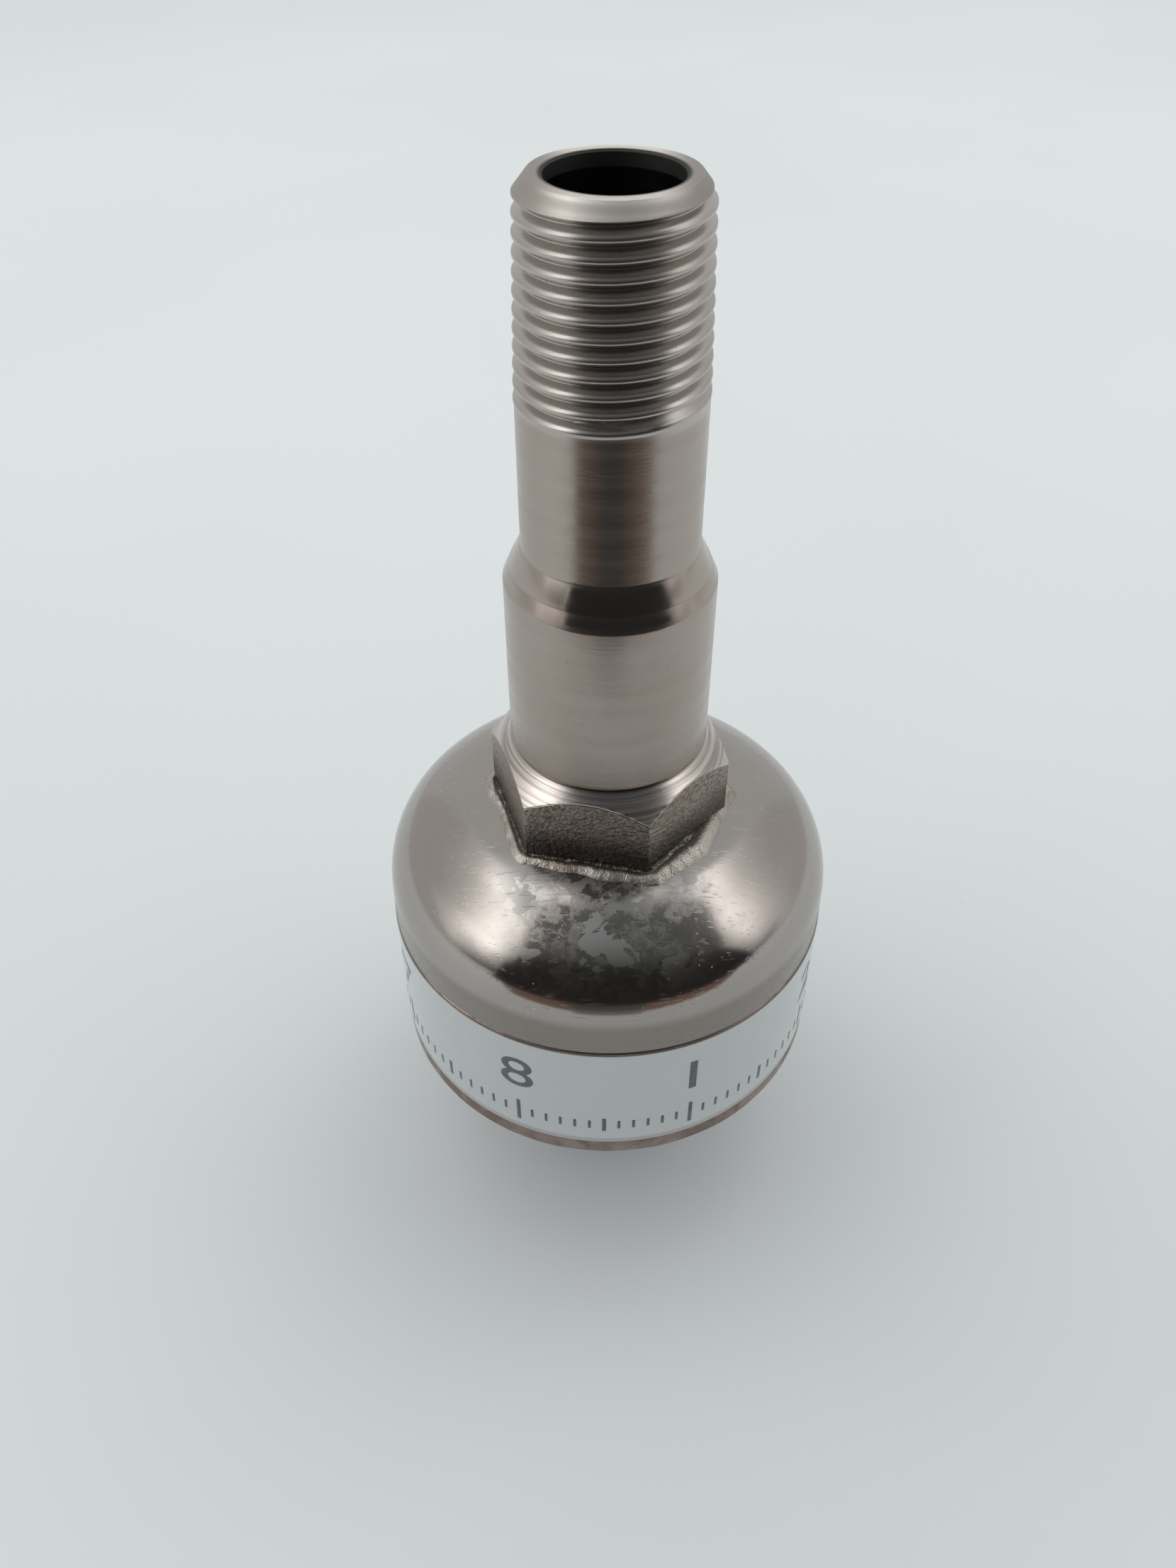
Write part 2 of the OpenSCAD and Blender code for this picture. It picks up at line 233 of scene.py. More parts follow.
def turned(name, outline, steps=192):
    """Spins a closed outline of (radius, height) points in metres round the axis."""
    obj = single_vertex(name, *outline[0])
    for (r, z), (r2, z2) in zip(outline, outline[1:] + outline[:1]):
        bpy.ops.mesh.extrude_vertices_move(TRANSFORM_OT_translate={"value": (r2 - r, 0, z2 - z)})
    bpy.ops.mesh.select_all(action="SELECT")
    bpy.ops.mesh.spin(steps=steps, angle=TURN, center=(0, 0, 0), axis=(0, 0, 1))
    bpy.ops.object.mode_set(mode="OBJECT")
    close_up(obj)
    return obj


def arc(centre, radius, start, end, count):
    """Points of an arc in an outline, with angles in radians from the outward direction."""
    return [
        (
            centre[0] + radius * cos(start + (end - start) * i / count),
            centre[1] + radius * sin(start + (end - start) * i / count),
        )
        for i in range(count + 1)
    ]


def carry_on(points):
    """Extrudes the selected ring of edges through (radius, height) points, first to last."""
    for (r, z), (r2, z2) in zip(points, points[1:]):
        bpy.ops.mesh.extrude_edges_move(TRANSFORM_OT_translate={"value": (0, 0, z2 - z)})
        if abs(r2 - r) > 1e-9:
            bpy.ops.transform.resize(value=(r2 / r, r2 / r, 1), center_override=(0, 0, 0))


def select_edges(obj, wanted):
    """Selects the edges that a test picks out."""
    bpy.ops.mesh.select_all(action="DESELECT")
    bpy.ops.mesh.select_mode(type="EDGE")
    mesh = bmesh.from_edit_mesh(obj.data)
    for e in mesh.edges:
        e.select = wanted(e)
    mesh.select_flush_mode()
    bmesh.update_edit_mesh(obj.data)


def select_ring(obj, height, tolerance=0.002 * MM):
    """Selects the open edges at one height."""

    def at_height(e):
        return e.is_boundary and all(abs(v.co.z - height) < tolerance for v in e.verts)

    select_edges(obj, at_height)


def cut(place, outwards, **options):
    """Cuts the whole mesh that is open in edit mode along a plane."""
    bpy.ops.mesh.select_all(action="SELECT")
    bpy.ops.mesh.bisect(plane_co=place, plane_no=outwards, threshold=0.0001 * MM, **options)


def corner_radius(flats):
    """Radius over a hexagon's corners, from its size across flats."""
    return flats / 2 / cos(pi / 6)


def reshape(obj, move):
    """Moves every vertex to where move(x, y, z) puts it."""
    for v in obj.data.vertices:
        v.co = move(*v.co)
    obj.data.update()


def ripple(x, y, z, scale, seed=0.0):
    """Smooth noise from -1 to 1 at a place, with features of about scale metres."""
    return noise.noise(Vector((x / scale + seed, y / scale - seed, z / scale + 2 * seed)))


def front_angle(x, y):
    """Angle round the axis from -Y, growing towards +X."""
    return atan2(x, -y)


def finish_piece(obj, nodes, finish):
    """Gives a piece its finish and body, and hides the CAD nodes it stands for."""
    obj.data.materials.clear()
    obj.data.materials.append(materials()[finish])
    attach(obj, BODY)
    if nodes:
        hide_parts(*nodes)
    return obj


# ---------------------------------------------------------------- materials


class Shader:
    """A node tree being built, with short names for the nodes it uses."""

    def __init__(self, tree, coords=None):
        self.tree = tree
        self.coords = coords

    def plug(self, value, socket):
        """Links a socket to another, or sets it to a number, vector or colour."""
        if isinstance(value, bpy.types.NodeSocket):
            self.tree.links.new(value, socket)
        elif socket.type == "RGBA" and len(value) == 3:
            socket.default_value = (*value, 1.0)
        else:
            socket.default_value = value

    def add(self, kind, **values):
        """Adds a node, and sets its properties and inputs by name."""
        n = self.tree.nodes.new("ShaderNode" + kind)
        for key, value in values.items():
            if hasattr(n, key):
                setattr(n, key, value)
            else:
                self.plug(value, n.inputs[key.replace("_", " ")])
        return n

    def math(self, operation, *values, clamp=False):
        """A Math node on numbers or sockets."""
        n = self.add("Math", operation=operation, use_clamp=clamp)
        for value, socket in zip(values, n.inputs):
            self.plug(value, socket)
        return n.outputs[0]

    def times(self, a, b):
        return self.math("MULTIPLY", a, b)

    def plus(self, a, b):
        return self.math("ADD", a, b)

    def less(self, a, b):
        return self.math("SUBTRACT", a, b)

    def weighted(self, start, *terms):
        """A number plus masks, each times its weight."""
        for mask, weight in terms:
            start = self.plus(start, self.times(mask, weight))
        return start

    def remap(self, value, low, high, to_low=0.0, to_high=1.0):
        """A clamped Map Range with a smooth step."""
        n = self.add("MapRange", interpolation_type="SMOOTHSTEP", Value=value)
        labels = ("From Min", "From Max", "To Min", "To Max")
        for label, number in zip(labels, (low, high, to_low, to_high)):
            self.plug(number, n.inputs[label])
        return n.outputs["Result"]

    def blend(self, factor, a, b):
        """Mixes two colours."""
        n = self.add("Mix", data_type="RGBA")
        for value, index in ((factor, 0), (a, 6), (b, 7)):
            self.plug(value, n.inputs[index])
        return n.outputs[2]

    def layer(self, base, mask, strength, colour):
        """Lays a colour over another through a mask."""
        return self.blend(self.times(mask, strength), base, colour)

    def texture(self, kind, scale, vector=None, **values):
        """A procedural texture, in features per metre."""
        return self.add("Tex" + kind, Vector=vector or self.coords, Scale=scale, **values).outputs

    def noise(self, scale, detail=2.0):
        return self.texture("Noise", scale, Detail=detail)[0]

    def lay_out(self):
        """Places the nodes in columns, from the last one leftwards."""
        column = {n.name: 0 for n in self.tree.nodes}
        for _ in column:
            for link in self.tree.links:
                step = column[link.to_node.name] + 1
                column[link.from_node.name] = max(column[link.from_node.name], step)
        filled = {}
        for n in self.tree.nodes:
            place = column[n.name]
            n.location = (-220 * place, -240 * filled.get(place, 0))
            filled[place] = filled.get(place, 0) + 1


class Effect(Shader):
    """A shared node group that reads a vector and puts out masks and heights."""

    def __init__(self, name, inputs, outputs):
        super().__init__(bpy.data.node_groups.new(name, "ShaderNodeTree"))
        add_socket = self.tree.interface.new_socket
        number = "NodeSocketFloat"
        add_socket(name="Vector", in_out="INPUT", socket_type="NodeSocketVector")
        for label, value in inputs.items():
            add_socket(name=label, in_out="INPUT", socket_type=number).default_value = value
        for label in outputs:
            add_socket(name=label, in_out="OUTPUT", socket_type=number)
        self.given = self.tree.nodes.new("NodeGroupInput").outputs
        self.end = self.tree.nodes.new("NodeGroupOutput").inputs
        self.coords = self.given["Vector"]

    def give(self, **outputs):
        """Feeds the group's outputs."""
        for label, value in outputs.items():
            self.plug(value, self.end[label])
        self.lay_out()


def turning_lines():
    """Fine rings left by a lathe tool, which follow the height and the radius."""
    inputs = {"Rings per Metre": 9000.0, "Unevenness": 0.5}
    e = Effect("Turning Lines", inputs, ("Height", "Streak"))
    x, y, z = e.add("SeparateXYZ", Vector=e.coords).outputs
    radius = e.math("SQRT", e.plus(e.times(x, x), e.times(y, y)))
    flat = {"X": e.times(x, 0.02), "Y": e.times(y, 0.02)}
    along = e.add("CombineXYZ", **flat, Z=e.less(z, radius)).outputs[0]
    fine = e.texture("Noise", e.given["Rings per Metre"], along, Detail=3.0, Roughness=0.65)
    coarse = e.texture("Noise", 1300.0, along, Detail=2.0)
    mixed = e.add("Mix", data_type="FLOAT")
    for value, index in ((e.given["Unevenness"], 0), (fine[0], 2), (coarse[0], 3)):
        e.plug(value, mixed.inputs[index])
    e.give(Height=mixed.outputs[0], Streak=e.remap(coarse[0], 0.35, 0.68))


def stain_blotches():
    """Irregular blotches with soft or hard edges, as flux and handling leave on plating."""
    inputs = {"Scale": 260.0, "Cover": 0.5, "Softness": 0.08}
    e = Effect("Stain Blotches", inputs, ("Mask", "Edge"))
    scale, cover, softness = (e.given[label] for label in inputs)
    warp = e.texture("Noise", scale, Detail=3.0)
    bent = e.add("VectorMath", operation="MULTIPLY_ADD")
    for value, socket in zip((warp["Color"], (0.004, 0.004, 0.004), e.coords), bent.inputs):
        e.plug(value, socket)
    patches = e.texture("Noise", scale, bent.outputs[0], Detail=4.0, Roughness=0.6)
    mask = e.remap(patches[0], e.less(cover, softness), e.plus(cover, softness))
    near = e.times(mask, e.less(1.0, mask))
    e.give(Mask=mask, Edge=e.math("MULTIPLY", near, 4.0, clamp=True))


def pits_and_scratches():
    """Small pits and short hairline scratches."""
    inputs = {"Pits per Metre": 2200.0, "Pit Size": 0.12, "Scratch Cover": 0.5}
    e = Effect("Pits and Scratches", inputs, ("Pits", "Scratches"))
    cells = e.texture("Voronoi", e.given["Pits per Metre"])
    spot = e.remap(cells["Distance"], 0.0, e.given["Pit Size"], 1.0, 0.0)
    lines = []
    for angle, seed in ((0.35, 1.0), (-0.6, 4.0), (1.2, 7.0)):
        turn = e.add(
            "Mapping",
            Vector=e.coords,
            Location=(seed * 0.01, 0, 0),
            Rotation=(0.3 * seed, 0.2, angle),
            Scale=(0.06, 1.0, 1.0),
        )
        line = e.texture("Noise", 4200.0, turn.outputs[0], Detail=0.0)
        lines.append(e.remap(line[0], 0.735, 0.78))
    first, second, third = lines
    scratches = e.math("MAXIMUM", e.math("MAXIMUM", first, second), third)
    e.give(
        Pits=e.times(spot, e.remap(e.noise(420.0), 0.5, 0.62)),
        Scratches=e.times(scratches, e.given["Scratch Cover"]),
    )


def grain():
    """Rough grain at one size, as on cast metal, moulding or paper."""
    e = Effect("Grain", {"Grains per Metre": 5000.0}, ("Height", "Sparkle"))
    grit = e.texture("Noise", e.given["Grains per Metre"], Detail=3.0)[0]
    cells = e.texture("Voronoi", e.given["Grains per Metre"])
    e.give(Height=e.weighted(grit, (cells["Distance"], 0.5)), Sparkle=e.remap(grit, 0.58, 0.72))


class Finish(Shader):
    """A material being built: its Principled shader and object coordinates."""

    def __init__(self, name, **values):
        material = bpy.data.materials.new(name)
        material.use_nodes = True
        super().__init__(material.node_tree)
        self.shader = next(n for n in self.tree.nodes if n.type == "BSDF_PRINCIPLED")
        self.coords = self.add("TexCoord").outputs["Object"]
        self.feed(**values)

    def feed(self, **values):
        """Feeds the shader's inputs by name."""
        for key, value in values.items():
            self.plug(value, self.shader.inputs[key.replace("_", " ")])

    def effect(self, name, **values):
        """Places a shared node group and returns its outputs."""
        group = bpy.data.node_groups[name]
        return self.add("Group", node_tree=group, Vector=self.coords, **values).outputs

    def stains(self, scale, cover, softness):
        return self.effect("Stain Blotches", Scale=scale, Cover=cover, Softness=softness)

    def wear(self, pits, size, cover):
        return self.effect(
            "Pits and Scratches", Pits_per_Metre=pits, Pit_Size=size, Scratch_Cover=cover
        )

    def bump(self, *layers):
        """Ends the material with bumps, each given as (height, millimetres, strength)."""
        normal = None
        for height, distance, strength in layers:
            n = self.add("Bump", Height=height, Distance=distance * MM, Strength=strength)
            if normal is not None:
                self.plug(normal, n.inputs["Normal"])
            normal = n.outputs["Normal"]
        self.feed(Normal=normal)
        self.lay_out()

    def coordinate(self, axis):
        return self.add("SeparateXYZ", Vector=self.coords).outputs[axis]

    def height_range(self, low, high):
        """0 at one height and 1 at another, in metres."""
        return self.remap(self.coordinate("Z"), low, high)

    def band(self, low, high, soft):
        """1 between two heights and 0 outside them, in metres."""
        up = self.height_range(low - soft, low + soft)
        down = self.height_range(high - soft, high + soft)
        return self.math("SUBTRACT", up, down, clamp=True)

    def radius(self):
        """Distance from the axis."""
        flat = self.add("VectorMath", operation="MULTIPLY")
        self.plug(self.coords, flat.inputs[0])
        self.plug((1, 1, 0), flat.inputs[1])
        size = self.add("VectorMath", operation="LENGTH")
        self.plug(flat.outputs[0], size.inputs[0])
        return size.outputs["Value"]

    def radius_range(self, low, high):
        """0 at one radius and 1 at another, in metres."""
        return self.remap(self.radius(), low, high)

    def cone_range(self, low, high):
        """0 where height plus radius is one length and 1 where it is another, in metres."""
        return self.remap(self.plus(self.coordinate("Z"), self.radius()), low, high)


def turned_nickel(c):
    """Plating over lathe rings: a painted highlight on the chamfer, pitted on the hexagon, painted
    shade at the hexagon's foot and in the bore.
    """
    f = Finish("turned_nickel", Metallic=1.0, Roughness=0.25)
    s = bpy.context.scene.gauge_fitting
    top, cap = STEM_HIGH.z, CAP_HIGH.z
    cone_top = cap + s.hexagon_height
    cone = cone_top + s.wide
    thread_low = top - s.thread_length
    bevel_top = thread_low - s.slim_length
    rings = f.effect("Turning Lines", Rings_per_Metre=9000.0, Unevenness=0.3)
    streak = rings["Streak"]
    film = f.stains(120.0, 0.52, 0.2)["Mask"]
    wear = f.wear(1500.0, 0.1, 0.5)
    grit = f.effect("Grain", Grains_per_Metre=4200.0)
    outside = f.radius_range(s.wide + 0.1 * MM, s.wide + 0.3 * MM)
    on_hexagon = f.times(f.cone_range(cone - 0.08 * MM, cone - 0.2 * MM), outside)
    on_hexagon = f.times(on_hexagon, f.height_range(cone_top + 0.5 * MM, cone_top))
    flats = f.times(on_hexagon, f.remap(f.noise(3200.0, 4.0), 0.42, 0.62))
    # Painted shade: the hexagon's flats are painted darker towards their foot, where they meet the
    # dome.
    low = f.times(on_hexagon, f.height_range(cap + 3.4 * MM, cap + 0.8 * MM))
    bevel = f.band(bevel_top - s.bevel + 0.25 * MM, bevel_top - 0.1 * MM, 0.1 * MM)
    chamfer = f.height_range(top - s.chamfer, top - s.chamfer + 0.1 * MM)
    # Painted shade: everything inside the bore's radius is painted nearly black.
    inside = f.radius_range(s.bore + 0.35 * MM, s.bore + 0.1 * MM)
    threaded = f.height_range(thread_low - 0.2 * MM, thread_low + 0.2 * MM)
    plain = f.math("MAXIMUM", f.less(1.0, threaded), chamfer)
    on_cone = f.band(cap, cone_top + 0.05 * MM, 0.05 * MM)
    on_cone = f.times(on_cone, f.radius_range(s.wide, s.wide + 0.08 * MM))
    on_cone = f.times(on_cone, f.less(1.0, on_hexagon))
    cut = f.effect("Turning Lines", Rings_per_Metre=3600.0, Unevenness=0.0)
    arcs = f.times(f.remap(cut["Height"], 0.42, 0.6), on_cone)
    # Painted highlight: the chamfer is painted bright and streaky where it faces front and back,
    # and darker towards its sides, in place of a reflection.
    front_highlight = f.remap(f.math("ABSOLUTE", f.coordinate("X")), 1.9 * MM, 3.9 * MM, 1.0, 0.0)
    painted_highlight = f.blend(streak, (0.97, 0.93, 0.89), (0.7, 0.66, 0.62))
    painted_highlight = f.blend(front_highlight, (0.42, 0.385, 0.36), painted_highlight)

    base = f.blend(threaded, c["turned"], (0.5, 0.465, 0.44))
    for mask, strength, colour_over in (
        (film, 0.16, c["tarnish"]),
        (streak, 0.05, (0.24, 0.2, 0.18)),
        (flats, 0.5, (0.13, 0.1, 0.08)),
        # painted shade at the hexagon's foot
        (low, 0.7, (0.05, 0.047, 0.045)),
        (on_cone, 0.65, (0.78, 0.73, 0.69)),
        (arcs, 0.5, (0.12, 0.11, 0.105)),
        (wear["Pits"], 0.75, (0.05, 0.04, 0.035)),
        # painted highlight over the chamfer
        (chamfer, 0.95, painted_highlight),
    ):
        base = f.layer(base, mask, strength, colour_over)
    # painted shade in the bore
    base = f.blend(inside, base, (0.08, 0.078, 0.076))
    rough = f.weighted(0.2, (streak, 0.05), (film, 0.06), (on_hexagon, 0.12), (chamfer, 0.3))
    rough = f.weighted(rough, (bevel, -0.07), (threaded, 0.05))
    f.feed(Base_Color=base, Roughness=rough)
    f.bump(
        (f.times(rings["Height"], plain), 0.008, 0.3),
        (wear["Scratches"], 0.004, 0.4),
        (f.times(on_hexagon, grit["Height"]), 0.09, 0.9),
    )


def polished_nickel(c):
    """Bright drawn sheet with flux stains near the hexagon, pits, hairlines and a duller side."""
    f = Finish("polished_nickel", Metallic=1.0, Roughness=0.12)
    film = f.stains(300.0, 0.57, 0.012)
    haze = f.stains(150.0, 0.5, 0.14)["Mask"]
    dots = f.stains(900.0, 0.52, 0.12)["Mask"]
    wear = f.wear(2600.0, 0.12, 0.7)
    side = f.height_range(27.6 * MM, 26.6 * MM)
    across = f.math("ABSOLUTE", f.coordinate("X"))
    middle = f.remap(across, 7.5 * MM, 3.5 * MM, 0.12, 1.0)
    near = f.times(f.radius_range(15.4 * MM, 11.5 * MM), middle)
    flux = f.times(near, f.math("MAXIMUM", film["Mask"], f.times(dots, 0.6)))
    stained = f.times(near, haze)
    dust = f.texture("Voronoi", 1700.0)["Distance"]
    patches = f.remap(f.noise(500.0), 0.48, 0.6)
    specks = f.times(f.remap(dust, 0.05, 0.1, 1.0, 0.0), patches)

    base = c["dome"]
    for mask, strength, colour_over in (
        (stained, 0.35, (0.22, 0.255, 0.275)),
        (flux, 0.34, c["grime"]),
        (f.times(near, film["Edge"]), 0.35, (0.15, 0.15, 0.15)),
        (wear["Pits"], 0.6, (0.1, 0.09, 0.08)),
        (side, 0.85, c["side"]),
    ):
        base = f.layer(base, mask, strength, colour_over)
    base = f.blend(specks, base, (0.62, 0.62, 0.6))
    dull = f.math("MAXIMUM", f.times(flux, 0.24), f.times(specks, 0.8))
    scratches = wear["Scratches"]
    rough = f.weighted(0.13, (flux, 0.3), (stained, 0.08), (scratches, 0.15), (side, 0.12))
    f.feed(Base_Color=base, Metallic=f.less(1.0, dull), Roughness=rough)
    f.bump((f.noise(700.0), 0.012, 0.3), (flux, 0.006, 0.5), (scratches, 0.004, 0.6))


def dull_nickel(c):
    """Dulled, brownish plating on the sleeve and its rim."""
    f = Finish("dull_nickel", Metallic=1.0, Roughness=0.38)
    film = f.stains(320.0, 0.5, 0.1)["Mask"]
    wear = f.wear(3000.0, 0.18, 0.8)
    base = f.layer(c["rim"], film, 0.5, (0.17, 0.12, 0.1))
    base = f.layer(base, wear["Pits"], 0.6, (0.06, 0.05, 0.04))
    f.feed(Base_Color=base, Roughness=f.weighted(0.3, (film, 0.2)))
    f.bump((f.noise(1400.0, 3.0), 0.02, 0.5), (wear["Scratches"], 0.005, 0.6))


def grainy_braze(c):
    """Rough, sparkling braze metal, with painted shade in the hollow beside the flats, patchy in
    strength.
    """
    f = Finish("grainy_braze", Metallic=1.0, Roughness=0.35)
    grit = f.effect("Grain", Grains_per_Metre=7000.0)
    hollow = f.add("Attribute", attribute_name="hollow").outputs["Fac"]
    pits = f.remap(f.noise(3500.0, 3.0), 0.4, 0.65, 1.0, 0.6)
    base = f.layer(c["braze"], f.stains(500.0, 0.55, 0.08)["Mask"], 0.6, c["tarnish"])
    base = f.layer(base, grit["Sparkle"], 0.5, (0.85, 0.83, 0.79))
    # Painted shade: the hollow beside the flats is painted dark, patchy in strength.
    base = f.layer(base, hollow, pits, (0.06, 0.055, 0.05))
    f.feed(Base_Color=base, Roughness=f.weighted(0.42, (grit["Sparkle"], -0.2)))
    f.bump((grit["Height"], 0.05, 0.7))


def glossy_label(c):
    """White label under clear film, greyer along its lower edge."""
    f = Finish("glossy_label", Roughness=0.25, Coat_Weight=0.6, Coat_Roughness=0.08)
    grit = f.effect("Grain", Grains_per_Metre=2600.0)
    grime = f.stains(160.0, 0.55, 0.25)["Mask"]
    edge = f.height_range(LABEL_LOW.z + 0.35 * MM, LABEL_LOW.z + 0.55 * MM)
    base = f.blend(edge, (0.36, 0.37, 0.36), c["paper"])
    base = f.layer(base, grime, 0.06, (0.44, 0.44, 0.41))
    f.feed(Base_Color=base, Roughness=f.weighted(0.24, (grime, 0.03)))
    f.bump((grit["Height"], 0.004, 0.08))


def printed_ink(c):
    """Grey print, slightly uneven."""
    f = Finish("printed_ink", Roughness=0.35, Coat_Weight=0.6, Coat_Roughness=0.08)
    patches = f.noise(2500.0, 3.0)
    darker = tuple(0.7 * part for part in c["ink"])
    f.feed(Base_Color=f.blend(f.remap(patches, 0.35, 0.7), c["ink"], darker))
    f.feed(Roughness=f.remap(patches, 0.3, 0.7, 0.3, 0.42))
    f.lay_out()


def brown_moulding(c):
    """Dark brown moulded resin with fine flow marks."""
    f = Finish("brown_moulding", Roughness=0.35, Specular_IOR_Level=0.5)
    film = f.stains(300.0, 0.5, 0.2)["Mask"]
    wear = f.wear(1800.0, 0.1, 0.8)
    lighter = tuple(min(1.0, 2.1 * part) for part in c["moulding"])
    base = f.layer(c["moulding"], film, 0.55, lighter)
    base = f.layer(base, wear["Scratches"], 0.35, (0.16, 0.13, 0.11))
    f.feed(Base_Color=base, Roughness=f.weighted(0.28, (film, 0.16)))
    grit = f.effect("Grain", Grains_per_Metre=1800.0)
    f.bump((grit["Height"], 0.012, 0.4), (wear["Scratches"], 0.006, 0.5))


def plain_metal(name, base, rough, dark, scale):
    """A worked metal with a patchy film, for pins, wires and the plate inside."""
    f = Finish(name, Metallic=1.0, Roughness=rough)
    film = f.stains(scale, 0.54, 0.12)["Mask"]
    base = f.layer(base, film, 0.3, dark)
    base = f.layer(base, f.wear(3500.0, 0.12, 0.9)["Scratches"], 0.3, dark)
    f.feed(Base_Color=base, Roughness=f.weighted(rough, (film, 0.15)))
    f.bump((f.noise(3000.0), 0.008, 0.4))


def seal_glass():
    """Greenish seal glass with small bubbles."""
    f = Finish("seal_glass", Roughness=0.12, Metallic=0.0, Transmission_Weight=0.35)
    tint = f.noise(800.0)
    base = f.blend(f.remap(tint, 0.3, 0.7), (0.1, 0.19, 0.17), (0.2, 0.3, 0.27))
    f.feed(Base_Color=f.blend(f.wear(4000.0, 0.25, 0.0)["Pits"], base, (0.45, 0.5, 0.48)))
    f.bump((tint, 0.03, 0.4))


def table_top(c):
    """Pale table top with a faint mottle and a few specks."""
    f = Finish("table_top", Roughness=0.5, Specular_IOR_Level=0.35)
    speck = f.remap(f.texture("Voronoi", 55.0)["Distance"], 0.012, 0.03, 1.0, 0.0)
    darker = tuple(0.95 * part for part in c["floor"])
    base = f.blend(f.remap(f.noise(6.0, 3.0), 0.3, 0.7), c["floor"], darker)
    f.feed(Base_Color=f.layer(base, speck, 0.12, (0.45, 0.44, 0.42)))
    f.bump((f.noise(260.0, 4.0), 0.05, 0.25))


def materials():
    """Builds every finish once and returns them by name."""
    if "turned_nickel" not in bpy.data.materials:
        colours = bpy.context.scene.gauge_colours
        c = {key: tuple(getattr(colours, key)) for key in GaugeColours.__annotations__}
        for make in (turning_lines, stain_blotches, pits_and_scratches, grain):
            make()
        for make in (turned_nickel, polished_nickel, dull_nickel, grainy_braze):
            make(c)
        for make in (glossy_label, printed_ink, brown_moulding, table_top):
            make(c)
        seal_glass()
        plain_metal("pin_plating", c["pins"], 0.24, (0.28, 0.22, 0.14), 600.0)
        plain_metal("tinned_wire", (0.62, 0.6, 0.57), 0.3, (0.3, 0.28, 0.25), 900.0)
        plain_metal("soft_solder", (0.5, 0.51, 0.52), 0.4, (0.3, 0.3, 0.3), 900.0)
        plain_metal("header_steel", (0.45, 0.44, 0.43), 0.38, (0.2, 0.19, 0.18), 250.0)
    return bpy.data.materials


# ---------------------------------------------------------------- pieces


def thread_depth(s, angle, z):
    """How far the thread's surface lies below its crests at an angle and height."""
    crest_z = STEM_HIGH.z - s.first_crest + s.pitch * angle / TURN
    share = (z - crest_z) / s.pitch
    off = abs(share - floor(share + 0.5)) * s.pitch
    straight = min(max((off - s.crest / 2) / ((s.pitch - s.crest - s.root) / 2), 0.0), 1.0)
    rounded = ((1 - cos(TURN * off / s.pitch)) / 2) ** 1.5
    return s.depth * (0.3 * straight + 0.7 * rounded)


